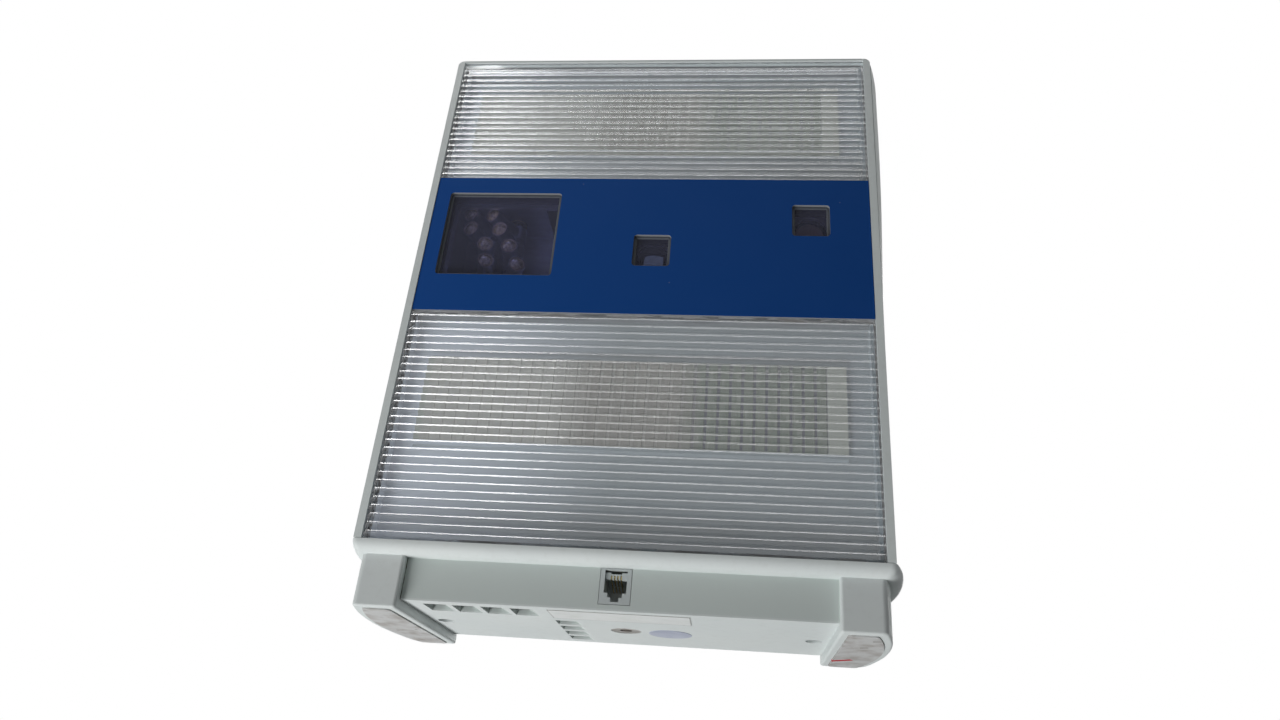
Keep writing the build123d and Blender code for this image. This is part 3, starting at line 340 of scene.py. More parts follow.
def trayPaintedLight(finish, colour, look):
    # trays that get paler to the left as painted light, with painted shade on their ceilings and a
    # broken painted shadow line at the front left edge of the lower one
    x = finish.axis("X")
    # painted light: both trays are paler to the left
    lower = finish.mixed(finish.ramp(x, *look["paintedLightX"], 1.0, 0.0), colour, look["pale"])
    upper = finish.mixed(finish.ramp(x, *look["upperPaintedLightX"], 1.0, 0.0), colour, look["upperPaintedLight"])
    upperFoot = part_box("upper_light_tray")[0].z
    colour = finish.mixed(finish.above("Z", upperFoot - look["ceilingDepth"]), lower, upper)
    # painted shade along the tray ceilings
    for tray in ("upper_light_tray", "lower_light_tray"):
        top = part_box(tray)[1].z
        ceilingShade = finish.product(finish.above("Z", top - look["ceilingDepth"]),
                                 finish.below("Z", top + look["ceilingDepth"]))
        colour = finish.mixed(ceilingShade, colour, look["ceilingShade"])
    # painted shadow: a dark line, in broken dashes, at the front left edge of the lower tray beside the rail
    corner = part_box("lower_light_tray")[0]
    rim = finish.product(finish.below("Y", corner.y + look["rimDepth"]),
                         finish.below("X", corner.x + look["rimWidth"]), finish.noise(**look["rimShadowBreaks"]))
    return finish.mixed(rim, colour, look["rim"])


mouldedLook = {
    "level": 0.5, "cloudScale": 18.0, "cloudDetail": 4.0,
    "dust": 0.06, "dustColour": (0.35, 0.34, 0.3),
    "dusting": dict(scale=320.0, detail=2.0, low=0.52, high=0.75),
    "speckShare": 0.0, "speckScale": 120.0, "speckSize": 0.09, "speckCover": 0.75,
    "speckColour": (0.06, 0.055, 0.05),
    "wear": dict(scale=45.0, detail=5.0, low=0.3, high=0.7),
    "grain": dict(scale=1500.0, detail=1.0, low=0.2, high=0.8), "relief": (0.12, 0.00008),
}
casingLook = {
    **mouldedLook, "colour": (0.735, 0.775, 0.765), "shade": (0.70, 0.745, 0.74),
    "roughness": (0.50, 0.64), "speckShare": 0.05, "dust": 0.07, "level": 0.18,
}
baseLook = {
    **casingLook,
    # painted shade on the plinth front between the feet
    "film": (0.60, 0.655, 0.635), "shadeFilmDepth": (-0.0400, -0.0385), "shadeFilmFoot": (0.0046, 0.0056),
    "shadeFilmTop": (0.0204, 0.0210),
    "crease": (0.09, 0.075, 0.06), "creaseX": -0.084, "creaseY": -0.0372, "creaseSize": 0.0002,
    "creaseFoot": 0.0045, "creaseBreaks": dict(scale=190.0, detail=4.0, low=0.38, high=0.5),
}
railLook = {
    **mouldedLook, "colour": (0.77, 0.82, 0.81), "shade": (0.73, 0.78, 0.77),
    "roughness": (0.40, 0.52), "speckShare": 0.03, "dust": 0.08, "level": 0.4,
}
darkLook = {
    **mouldedLook, "colour": (0.022, 0.022, 0.027), "shade": (0.034, 0.033, 0.040),
    "roughness": (0.5, 0.7), "dust": 0.05, "level": 0.15,
}
blackLook = {
    **mouldedLook, "colour": (0.018, 0.018, 0.02), "shade": (0.028, 0.028, 0.03),
    "roughness": (0.38, 0.55), "dust": 0.08,
}
bezelLook = {
    **mouldedLook, "colour": (0.62, 0.49, 0.44), "shade": (0.42, 0.33, 0.30),
    "roughness": (0.16, 0.3), "cloudScale": 260.0, "dust": 0.05,
}
gasketLook = {
    **mouldedLook, "colour": (0.11, 0.12, 0.14), "shade": (0.085, 0.093, 0.11),
    "roughness": (0.35, 0.5), "cloudScale": 90.0, "dust": 0.05, "level": 0.2,
}
acetalLook = {
    **mouldedLook, "colour": (0.80, 0.80, 0.76), "shade": (0.74, 0.74, 0.70),
    "roughness": (0.35, 0.45), "dust": 0.04,
}
socketLook = {
    **mouldedLook, "colour": (0.56, 0.60, 0.60), "shade": (0.50, 0.54, 0.54),
    "roughness": (0.35, 0.5), "dust": 0.10,
}
reflectorLook = {
    **mouldedLook, "colour": (0.32, 0.365, 0.385), "shade": (0.29, 0.335, 0.36),
    "roughness": (0.38, 0.5), "dust": 0.05, "cloudScale": 9.0, "level": 0.3,
    # painted light to the left of the trays
    "pale": (0.80, 0.855, 0.95), "paintedLightX": (-0.10, -0.005),
    "upperPaintedLight": (0.68, 0.74, 0.81), "upperPaintedLightX": (-0.10, 0.06),
    # painted shade on the tray ceilings
    "ceilingShade": (0.13, 0.145, 0.155), "ceilingDepth": 0.0016,
    # painted shadow line at the front left edge of the lower tray
    "rim": (0.05, 0.05, 0.06), "rimDepth": 0.0006, "rimWidth": 0.0016,
    "rimShadowBreaks": dict(scale=900.0, detail=2.0, low=0.3, high=0.6),
}


def plainMetal(name, look):
    # rolled or turned metal: fine lines one way and a little grime in patches
    finish = Finish(name)
    finish.set("Metallic", 1.0)
    lines = finish.noise(**look["lines"], stretch=look["along"])
    colour = finish.mixed(lines, look["colour"], look["shade"])
    colour = finish.over(colour, finish.noise(**look["patches"]), look["grime"], look["grimeColour"])
    finish.set("Base Color", colour)
    finish.roughen(lines, *look["roughness"])
    finish.bump(lines, *look["relief"])
    return finish.material


metalLook = {
    "lines": dict(scale=300.0, detail=4.0, low=0.3, high=0.7), "relief": (0.15, 0.00004),
    "patches": dict(scale=60.0, detail=4.0, low=0.5, high=0.8),
    "grime": 0.25, "grimeColour": (0.12, 0.11, 0.1),
}
aluminiumLook = {
    **metalLook, "colour": (0.78, 0.79, 0.80), "shade": (0.66, 0.67, 0.69),
    "roughness": (0.28, 0.42), "along": (0.1, 1.0, 1.0),
}
steelLook = {
    **metalLook, "colour": (0.62, 0.62, 0.63), "shade": (0.50, 0.50, 0.52),
    "roughness": (0.22, 0.38), "along": (1.0, 1.0, 0.15),
}
nickelLook = {
    **metalLook, "colour": (0.64, 0.60, 0.57), "shade": (0.40, 0.35, 0.32),
    "roughness": (0.28, 0.42), "along": (0.2, 1.0, 1.0), "grime": 0.5,
}
brassLook = {
    **metalLook, "colour": (0.80, 0.64, 0.30), "shade": (0.68, 0.52, 0.24),
    "roughness": (0.2, 0.34), "along": (0.2, 1.0, 1.0), "grime": 0.12,
}


reedLook = {
    "tint": (0.95, 0.975, 1.0), "passTint": (0.95, 0.96, 0.97), "ior": 1.49, "level": 0.0,
    "roughness": (0.09, 0.14), "fullWear": 1.4, "polish": 0.03, "scratches": 0.35,
    "haze": dict(scale=25.0, detail=4.0, low=0.4, high=0.7),
    "hairs": dict(scale=90.0, detail=3.0, low=0.62, high=0.68, stretch=(9.0, 1.0, 1.2), warp=0.6),
    "ripple": dict(scale=35.0, detail=2.0, low=0.3, high=0.7, stretch=(0.3, 1.0, 3.0)),
    "relief": (0.01, 0.0004),
    "edgeStrip": (0.12, 0.105, 0.09), "edgeStripTop": 0.0016, "edgeStripFoot": 0.0009, "edgeStripCover": 0.8,
    "smudge": dict(scale=70.0, detail=5.0, low=0.44, high=0.62, stretch=(1.0, 1.0, 5.0)),
}


def clearReeded(look):
    # clear polished acrylic with hairline scratches that run across the reeds, and darker, less
    # clear brown strips, smudged, along the top and the foot of the lower panel
    finish = Finish("clearReeded", ior=look["ior"], level=look["level"])
    low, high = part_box("lower_ribbed_panel")
    top = finish.product(finish.above("Z", high.z - look["edgeStripTop"]),
                         finish.below("Z", high.z + look["edgeStripFoot"]))
    foot = finish.below("Z", low.z + look["edgeStripFoot"])
    smudge = finish.noise(**look["smudge"])
    edgeStrip = finish.product(finish.math("MAXIMUM", top, foot), smudge, look["edgeStripCover"])
    finish.set("Base Color", finish.mixed(edgeStrip, look["tint"], look["edgeStrip"]))
    finish.set("Transmission Weight", finish.math("SUBTRACT", 1.0, edgeStrip))
    hairs = finish.noise(**look["hairs"])
    wear = finish.math("MULTIPLY_ADD", hairs, look["scratches"], finish.noise(**look["haze"]))
    finish.roughen(wear, *look["roughness"], look["fullWear"])
    finish.set("Coat Weight", 1.0)
    finish.set("Coat Roughness", look["polish"])
    finish.bump(finish.noise(**look["ripple"]), *look["relief"])
    finish.letLampsThrough(look["passTint"])
    return finish.material


bandLook = {
    "colour": (0.0095, 0.080, 0.335), "shadedRightColour": (0.0085, 0.066, 0.275), "across": (-0.10, 0.10),
    "edge": (0.24, 0.25, 0.265), "faceDepth": 0.00015, "roughness": (0.42, 0.56), "level": 0.035,
    "cloud": dict(scale=30.0, detail=4.0, low=0.3, high=0.7),
    "cloudColour": (0.03, 0.10, 0.36), "cloudCover": 0.10,
    "dots": dict(scale=160.0, size=0.08, share=0.05), "dotColour": (0.25, 0.28, 0.36), "dotCover": 0.35,
    "wear": dict(scale=55.0, detail=5.0, low=0.3, high=0.7, stretch=(1.0, 1.0, 4.0)),
    "grain": dict(scale=900.0, detail=1.0, low=0.2, high=0.8), "relief": (0.05, 0.00005),
}


def bandPrint(look):
    # deep blue print on the front face, lighter at the left and darker to the right as painted
    # light, and bare stock on the cut edges of the windows
    finish = Finish("bandBlue", level=look["level"])
    # painted light: the blue is lighter at the left and darker to the right
    blue = finish.mixed(finish.ramp(finish.axis("X"), *look["across"]), look["colour"], look["shadedRightColour"])
    blue = finish.over(blue, finish.noise(**look["cloud"]), look["cloudCover"], look["cloudColour"])
    blue = finish.over(blue, finish.specks(**look["dots"]), look["dotCover"], look["dotColour"])
    cut = finish.above("Y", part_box("band_panel")[0].y + look["faceDepth"])
    finish.set("Base Color", finish.mixed(cut, blue, look["edge"]))
    finish.roughen(finish.noise(**look["wear"]), *look["roughness"])
    finish.bump(finish.noise(**look["grain"]), *look["relief"])
    return finish.material


paneLook = {
    "tint": (0.34, 0.36, 0.56), "deeper": 0.88, "passTint": (0.92, 0.91, 0.94),
    "clear": 0.915, "ior": 1.20, "roughness": (0.0, 0.03),
    "film": dict(scale=70.0, detail=5.0, low=0.45, high=0.8),
    "haze": dict(scale=22.0, detail=3.0, low=0.3, high=0.75, stretch=(1.0, 1.0, 1.6)),
}


def smokedPane(look):
    # smoked polished sheet, its tint a little cloudy, with a faint film that roughens it
    finish = Finish("smokedPane", ior=look["ior"])
    deeper = tuple(look["deeper"] * c for c in look["tint"])
    finish.set("Base Color", finish.mixed(finish.noise(**look["haze"]), look["tint"], deeper))
    finish.set("Transmission Weight", look["clear"])
    finish.roughen(finish.noise(**look["film"]), *look["roughness"])
    finish.letLampsThrough(look["passTint"])
    return finish.material


lensLook = {
    "laser": (1.0, 0.78, 0.42), "laserShade": (0.34, 0.22, 0.12), "centre": (0.42, 0.49, 0.33),
    "right": (1.0, 0.70, 0.52), "laserBelow": -0.03, "rightAbove": 0.045,
    "laserMetal": 0.12, "rightMetal": 0.05, "roughness": 0.04, "ior": 1.6, "coatIor": 2.1,
    "mottle": dict(scale=900.0, detail=3.0, low=0.38, high=0.6), "relief": (0.2, 0.0001),
}


def lensGlass(look):
    # coated glass, told apart by its place along X: mottled amber in the lasers, olive in the
    # centre camera and peach in the right one
    finish = Finish("lensGlass", roughness=look["roughness"], ior=look["ior"])
    mottle = finish.noise(**look["mottle"])
    laser = finish.mixed(mottle, look["laser"], look["laserShade"])
    onLeft = finish.below("X", look["laserBelow"])
    onRight = finish.above("X", look["rightAbove"])
    cameras = finish.mixed(onRight, look["centre"], look["right"])
    finish.set("Base Color", finish.mixed(onLeft, cameras, laser))
    metal = finish.math("MULTIPLY_ADD", onLeft, look["laserMetal"] - 1, 1.0)
    finish.set("Metallic", finish.math("MULTIPLY_ADD", onRight, look["rightMetal"] - 1, metal))
    finish.set("Coat Weight", 1.0)
    finish.set("Coat IOR", look["coatIor"])
    finish.bump(finish.product(mottle, onLeft), *look["relief"])
    return finish.material


boardLook = {
    "colours": ((0.50, 0.49, 0.445), (0.32, 0.305, 0.27), (0.045, 0.055, 0.07)),
    "zones": (-0.034, -0.018, 0.018, 0.030), "mask": (0.43, 0.45, 0.395), "side": (0.30, 0.33, 0.345),
    "grid": (-0.0885, 0.0807), "gridSoft": 0.0004, "rowHalf": (0.00095, 0.0011), "faceDepth": 0.0001,
    "mottle": dict(scale=200.0), "roughness": (0.35, 0.55), "level": 0.3,
}
chipForm = {
    "pitch": (0.005, 0.0035), "half": (0.0019, 0.00112), "height": 0.00025, "cut": 0.8, "rows": 11,
    "rings": ((0.0, 1.0), (0.8, 1.0), (1.0, 0.94), (1.0, 0.84), (0.86, 0.74)),
    "leftMargin": 0.003, "rightMargin": 0.0085,
}
chipLook = {
    "colours": ((0.48, 0.47, 0.43), (0.265, 0.25, 0.215), (0.115, 0.15, 0.11)),
    "uneven": dict(scale=260.0, detail=1.0, low=0.3, high=0.7),
    "unevenColour": (0.7, 0.68, 0.6), "unevenCover": 0.08, "roughness": (0.15, 0.3),
}


def alongBoard(finish, colours, zones):
    # left to middle to right colour, each change over its own stretch of X
    x = finish.axis("X")
    colour = finish.mixed(finish.ramp(x, *zones[:2]), colours[0], colours[1])
    return finish.mixed(finish.ramp(x, *zones[2:]), colour, colours[2])


def ledBoardFinish(name, node, look, pitch):
    # cream solder mask round the grid and between its rows, and between the chips a colour that
    # gets darker to the right
    finish = Finish(name, level=look["level"])
    low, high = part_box(node)
    x = finish.axis("X")
    colour = alongBoard(finish, look["colours"], look["zones"])
    start, end = look["grid"]
    margin = finish.math("MAXIMUM", finish.ramp(x, start - look["gridSoft"], start, 1.0, 0.0),
                         finish.ramp(x, end, end + look["gridSoft"]))
    fromMiddle = finish.math("SUBTRACT", finish.axis("Z"), (low.z + high.z) / 2)
    fromRow = finish.math("PINGPONG", fromMiddle, pitch / 2)
    margin = finish.math("MAXIMUM", margin, finish.ramp(fromRow, *look["rowHalf"]))
    colour = finish.mixed(margin, colour, look["mask"])
    side = finish.above("Y", low.y + look["faceDepth"])
    finish.set("Base Color", finish.mixed(side, colour, look["side"]))
    finish.roughen(finish.noise(**look["mottle"]), *look["roughness"])
    return finish.material


def chipFinish(look, zones):
    # moulded lamp chips: cream to the left, pinkish in the middle, grey-green to the right
    finish = Finish("lampChip")
    colour = alongBoard(finish, look["colours"], zones)
    uneven = finish.noise(**look["uneven"])
    finish.set("Base Color", finish.over(colour, uneven, look["unevenCover"], look["unevenColour"]))
    finish.roughen(uneven, *look["roughness"])
    return finish.material


circuitLook = {
    "mask": (0.012, 0.085, 0.045), "track": (0.02, 0.14, 0.07), "scale": 90.0, "gap": 0.03, "shift": 0.35,
    "mottle": dict(scale=150.0), "roughness": (0.3, 0.45), "relief": (0.3, 0.00004), "level": 0.4,
}


def circuitBoardFinish(look):
    # green mask over tracks that show as a fine relief
    finish = Finish("circuitBoard", level=look["level"])
    tracks = finish.add("ShaderNodeTexBrick", offset=look["shift"])
    tracks.inputs["Scale"].default_value = look["scale"]
    tracks.inputs["Mortar Size"].default_value = look["gap"]
    finish.link(finish.coords, tracks.inputs["Vector"])
    finish.set("Base Color", finish.mixed(tracks.outputs["Fac"], look["mask"], look["track"]))
    finish.roughen(finish.noise(**look["mottle"]), *look["roughness"])
    finish.bump(tracks.outputs["Fac"], *look["relief"])
    return finish.material


padLook = {
    "colour": (0.58, 0.585, 0.58), "grime": (0.40, 0.38, 0.36), "rub": (0.66, 0.67, 0.665), "rubCover": 0.6,
    "blots": dict(scale=110.0, detail=3.0, low=0.42, high=0.70), "roughness": (0.6, 0.85), "level": 0.25,
    "rubs": dict(scale=160.0, detail=4.0, low=0.5, high=0.75, stretch=(1.0, 0.7, 1.0)),
    "dots": dict(scale=210.0, size=0.22, share=0.10), "dotColour": (0.12, 0.10, 0.09), "dotCover": 0.6,
    "grain": dict(scale=1100.0, detail=2.0, low=0.2, high=0.8), "relief": (0.3, 0.0001),
    "strokes": (
        {"place": (0.0905, 0.0209), "turn": -37.6, "half": (0.0054, 0.0015), "colour": (0.50, 0.02, 0.035)},
        {"place": (0.0957, -0.0143), "turn": -20.0, "half": (0.0016, 0.0005), "colour": (0.16, 0.14, 0.12)},
        {"place": (0.0986, -0.0295), "turn": -20.0, "half": (0.0017, 0.0007), "colour": (0.16, 0.14, 0.12)},
    ),
}


def padRubber(look):
    # worn rubber: rubbed patches, grime in blots and a few short strokes on the right foot
    finish = Finish("padRubber", level=look["level"])
    blots = finish.noise(**look["blots"])
    colour = finish.mixed(blots, look["colour"], look["grime"])
    colour = finish.over(colour, finish.noise(**look["rubs"]), look["rubCover"], look["rub"])
    colour = finish.over(colour, finish.specks(**look["dots"]), look["dotCover"], look["dotColour"])
    for stroke in look["strokes"]:
        x = finish.math("SUBTRACT", finish.axis("X"), stroke["place"][0])
        y = finish.math("SUBTRACT", finish.axis("Y"), stroke["place"][1])
        cos, sin = math.cos(math.radians(stroke["turn"])), math.sin(math.radians(stroke["turn"]))
        along = finish.math("MULTIPLY_ADD", y, sin, finish.product(x, cos))
        across = finish.math("MULTIPLY_ADD", x, -sin, finish.product(y, cos))
        inside = [finish.math("LESS_THAN", finish.math("ABSOLUTE", away), half)
                  for away, half in zip((along, across), stroke["half"])]
        colour = finish.mixed(finish.product(*inside), colour, stroke["colour"])
    finish.set("Base Color", colour)
    finish.roughen(blots, *look["roughness"])
    finish.bump(finish.noise(**look["grain"]), *look["relief"])
    return finish.material


def plainFilm(name, look):
    # a stuck-on film: nearly even, a little yellowed in patches, with a faint ripple; a square
    # one is darker along its cut edges
    finish = Finish(name, level=look["level"])
    aged = finish.noise(**look["aged"])
    colour = finish.mixed(aged, look["colour"], look["shade"])
    if "edgeOf" in look:
        low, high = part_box(look["edgeOf"])
        for axis, start, end in (("X", low.x, high.x), ("Y", low.y, high.y)):
            away = finish.math("SUBTRACT", finish.axis(axis), (start + end) / 2)
            toEdge = finish.math("SUBTRACT", (end - start) / 2, finish.math("ABSOLUTE", away))
            edge = finish.ramp(toEdge, *look["edgeWidth"], look["edgeCover"], 0.0)
            colour = finish.mixed(edge, colour, look["edge"])
    finish.set("Base Color", colour)
    finish.roughen(aged, *look["roughness"])
    finish.bump(finish.noise(**look["ripple"]), *look["relief"])
    return finish.material


filmLook = {
    "aged": dict(scale=130.0, detail=3.0, low=0.4, high=0.7), "level": 0.4,
    "ripple": dict(scale=90.0, detail=2.0, low=0.2, high=0.8), "relief": (0.1, 0.0001),
}
labelLook = {
    **filmLook, "colour": (0.80, 0.82, 0.81), "shade": (0.74, 0.76, 0.74), "roughness": (0.3, 0.4),
    "edgeOf": "blank_label", "edge": (0.22, 0.215, 0.20), "edgeWidth": (0.0002, 0.0005), "edgeCover": 0.75,
}
stickerLook = {
    **filmLook, "colour": (0.45, 0.48, 0.59), "shade": (0.41, 0.44, 0.55), "roughness": (0.3, 0.42),
}

finishes = {
    "casing": mouldedPlastic("casingWhite", casingLook),
    "base": mouldedPlastic("baseWhite", baseLook, baseShadeAndCrease),
    "rail": mouldedPlastic("railWhite", railLook),
    "clear_reeded": clearReeded(reedLook),
    "band_blue": bandPrint(bandLook),
    "smoked_pane": smokedPane(paneLook),
    "dark_plastic": mouldedPlastic("darkMatt", darkLook),
    "reflector": mouldedPlastic("reflectorGrey", reflectorLook, trayPaintedLight),
    "led_board": ledBoardFinish("upperBoard", "upper_led_board", boardLook, chipForm["pitch"][1]),
    "lower_board": ledBoardFinish("lowerBoard", "lower_led_board", boardLook, chipForm["pitch"][1]),
    "lamp_chip": chipFinish(chipLook, boardLook["zones"]),
    "aluminium": plainMetal("aluminiumSheet", aluminiumLook),
    "circuit_board": circuitBoardFinish(circuitLook),
    "steel": plainMetal("plainSteel", steelLook),
    "brass": plainMetal("sprungBrass", brassLook),
    "nickel": plainMetal("insertNickel", nickelLook),
    "bezel": mouldedPlastic("lensBezel", bezelLook),
    "gasket": mouldedPlastic("paneGasket", gasketLook),
    "lens_glass": lensGlass(lensLook),
    "black_plastic": mouldedPlastic("blackMoulding", blackLook),
    "acetal": mouldedPlastic("whiteAcetal", acetalLook),
    "pad_rubber": padRubber(padLook),
    "label_white": plainFilm("labelWhite", labelLook),
    "sticker_lavender": plainFilm("stickerLavender", stickerLook),
    "socket_grey": mouldedPlastic("socketGrey", socketLook),
}
ownFinish = {"base_moulding": "base", "tripod_insert": "nickel", "lower_led_board": "lower_board"}
for obj in nodes.values():
    slotName = obj.data.materials[0].name.split(".")[0]
    obj.data.materials[0] = finishes[ownFinish.get(obj.name, slotName)]
print("finishes made:", len(finishes))


def addPiece(name, vertices, faces, slotName, body="scanner_body", smoothAngle=None, finish=None):
    mesh = bpy.data.meshes.new(name)
    mesh.from_pydata(vertices.tolist(), [], faces if isinstance(faces, list) else faces.tolist())
    shell = bmesh.new()
    shell.from_mesh(mesh)
    bmesh.ops.recalc_face_normals(shell, faces=shell.faces)
    shell.to_mesh(mesh)
    shell.free()
    if smoothAngle is not None:
        mesh.polygons.foreach_set("use_smooth", np.ones(len(mesh.polygons), bool))
        mesh.set_sharp_from_angle(angle=math.radians(smoothAngle))
    mesh.materials.append(finishes[finish or slotName])
    piece = bpy.data.objects.new(name, mesh)
    bpy.context.scene.collection.objects.link(piece)
    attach(piece, body)
    return piece


def gridFaces(grid):
    # quads between neighbouring rows and columns of a grid of vertex numbers
    return np.stack([grid[:-1, :-1], grid[1:, :-1], grid[1:, 1:], grid[:-1, 1:]], -1).reshape(-1, 4)


reedForm = {
    "pitch": 0.0035, "crest": 0.00045, "fillet": 0.14, "steps": 18, "columns": 41,
    "wave": 0.000004, "waves": ((61, 900), (143, -410)), "leastRest": 1e-5, "smoothAngle": 35,
}


def reededPanel(name, node, form):
    # Front: each reed is a parabola of the crest's height, u from -1 to 1 across it, that turns
    # into a hollow fillet over the last share of u, and the reed's middle wanders up and down
    # by a few microns, as the sum of wave * sin(a * x + b * z). Back: a flat sheet at the same
    # heights.
    low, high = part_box(node)
    reeds = int(round((high.z - low.z) // form["pitch"]))
    rest = (high.z - low.z) - reeds * form["pitch"]
    share = (1 - np.cos(np.linspace(0, math.pi, form["steps"] + 1))) / 2
    u = np.abs(2 * share - 1)
    edge = 1 - form["fillet"]
    crown = 1 - u ** 2 - form["fillet"]
    hollow = edge / form["fillet"] * (1 - u) ** 2
    arc = np.where(u < edge, crown, hollow) / edge * form["crest"]
    z = low.z + (np.arange(reeds)[:, None] + share[None, :-1]).ravel() * form["pitch"]
    rise = np.tile(arc[:-1], reeds)
    inReed = np.tile(np.sin(math.pi * share[:-1]), reeds)
    z = np.append(z, [low.z + reeds * form["pitch"]] + ([high.z] if rest > form["leastRest"] else []))
    rise = np.append(rise, np.zeros(len(z) - len(rise)))
    inReed = np.append(inReed, np.zeros(len(z) - len(inReed)))
    x = np.linspace(low.x, high.x, form["columns"])
    wander = sum(np.sin(x[:, None] * a + z[None] * b) for a, b in form["waves"]) * form["wave"]
    front = np.empty((len(x), len(z), 3))
    front[..., 0] = x[:, None]
    front[..., 1] = low.y + form["crest"] - rise[None]
    front[..., 2] = z[None] + wander * inReed[None]
    back = front.copy()
    back[..., 1] = high.y
    back[..., 2] = z[None]
    count = len(x) * len(z)
    index = np.arange(count).reshape(len(x), len(z))
    faces = [gridFaces(index), gridFaces(index + count)[:, ::-1]]
    for border, flip in ((index[0], False), (index[-1], True), (index[:, 0], True), (index[:, -1], False)):
        band = gridFaces(np.stack([border, border + count]))
        faces.append(band[:, ::-1] if flip else band)
    vertices = np.concatenate([front.reshape(-1, 3), back.reshape(-1, 3)])
    piece = addPiece(name, vertices, np.concatenate(faces), "clear_reeded", smoothAngle=form["smoothAngle"])
    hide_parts(node)


reededPanel("upperReedPanel", "upper_ribbed_panel", reedForm)
reededPanel("lowerReedPanel", "lower_ribbed_panel", reedForm)
print("reeded panels made")


def lampChips(name, node, form):
    # One chip: square rings with cut corners, each (rise, width), up the sides, over a bevelled
    # lip and into a shallow well; the same rings are repeated at every place of the board's grid.
    low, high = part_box(node)
    c = form["cut"]
    corner = np.array([(-1, -c), (-c, -1), (c, -1), (1, -c), (1, c), (c, 1), (-c, 1), (-1, c)])
    rise, width = np.array(form["rings"]).T[:, :, None]
    unit = np.empty((len(rise), 8, 3))
    unit[..., 0] = corner[:, 0] * form["half"][0] * width
    unit[..., 1] = -rise * form["height"]
    unit[..., 2] = corner[:, 1] * form["half"][1] * width
    unit = unit.reshape(-1, 3)
    step = np.arange(8)
    after = (step + 1) % 8
    side = np.stack([step, after, after + 8, step + 8], 1)
    lids = np.array([(0, 1, 2, 3), (0, 3, 4, 7), (4, 5, 6, 7)])
    sides = [side + 8 * n for n in range(len(rise) - 1)]
    unitFaces = np.concatenate(sides + [lids + len(unit) - 8, lids[:, ::-1]])
    columns = int((high.x - low.x - form["leftMargin"] - form["rightMargin"]) / form["pitch"][0]) + 1
    x = high.x - form["rightMargin"] - form["half"][0] - np.arange(columns) * form["pitch"][0]
    x = x[x > low.x + form["leftMargin"]]
    row = np.arange(form["rows"]) - (form["rows"] - 1) / 2
    z = (low.z + high.z) / 2 + row * form["pitch"][1]
    places = np.stack(np.meshgrid(x, [low.y], z, indexing="ij"), -1).reshape(-1, 3)
    vertices = (places[:, None] + unit[None]).reshape(-1, 3)
    faces = (np.arange(len(places))[:, None, None] * len(unit) + unitFaces[None]).reshape(-1, 4)
    addPiece(name, vertices, faces, "led_board", finish="lamp_chip")


lampChips("upperLampChips", "upper_led_board", chipForm)
lampChips("lowerLampChips", "lower_led_board", chipForm)
print("lamp chips made")


def turnedFaces(steps, count, closed):
    # quads between the rings of a turned form: the profile's points run along the second index
    index = np.arange(steps * count).reshape(steps, count)
    after = np.roll(index, -1, 0)
    if closed:
        index, after = (np.concatenate([grid, grid[:, :1]], 1) for grid in (index, after))
    return np.stack([index[:, :-1], index[:, 1:], after[:, 1:], after[:, :-1]], -1).reshape(-1, 4)


def turned(profile, steps, base, axis):
    # Profile of (radius, height) carried round the axis through base: base + height * axis
    # + radius * (cos a * side + sin a * up). A profile that starts at radius 0 gets two poles.
    side = np.cross(axis, (0.0, 0.0, 1.0))
    side /= np.linalg.norm(side)
    up = np.cross(axis, side)
    angle = np.arange(steps) * 2 * math.pi / steps
    poled = profile[0][0] == 0
    ring = np.array(profile[1:-1] if poled else profile)
    out = np.cos(angle)[:, None, None] * side + np.sin(angle)[:, None, None] * up
    points = base + ring[None, :, :1] * out + ring[None, :, 1:] * axis
    vertices = points.reshape(-1, 3)
    faces = turnedFaces(steps, len(ring), not poled).tolist()
    if poled:
        poles = [base + profile[0][1] * axis, base + profile[-1][1] * axis]
        start, end = len(vertices), len(vertices) + 1
        first = np.arange(steps) * len(ring)
        second = np.roll(first, -1)
        last = len(ring) - 1
        faces += np.stack([np.full(steps, start), first, second], 1).tolist()
        faces += np.stack([np.full(steps, end), second + last, first + last], 1).tolist()
        vertices = np.concatenate([vertices, poles])
    return vertices, faces


def joined(parts):
    vertices, faces, count = [], [], 0
    for points, quads in parts:
        vertices.append(points)
        faces += [[corner + count for corner in face] for face in quads]
        count += len(points)
    return np.concatenate(vertices), faces


lensForm = {
    "rows": 4, "seat": 0.001, "backShare": 0.95, "radius": 0.0031, "dome": 0.0014, "steps": 40, "rings": 9,
    "smoothAngle": 40, "bezelAngle": 30,
    "bezel": ((0.00315, 0.0), (0.0033, 0.00022), (0.0035, 0.00042), (0.0037, 0.00042),
              (0.0038, 0.0003), (0.0038, 0.00002), (0.00315, 0.00002)),
}


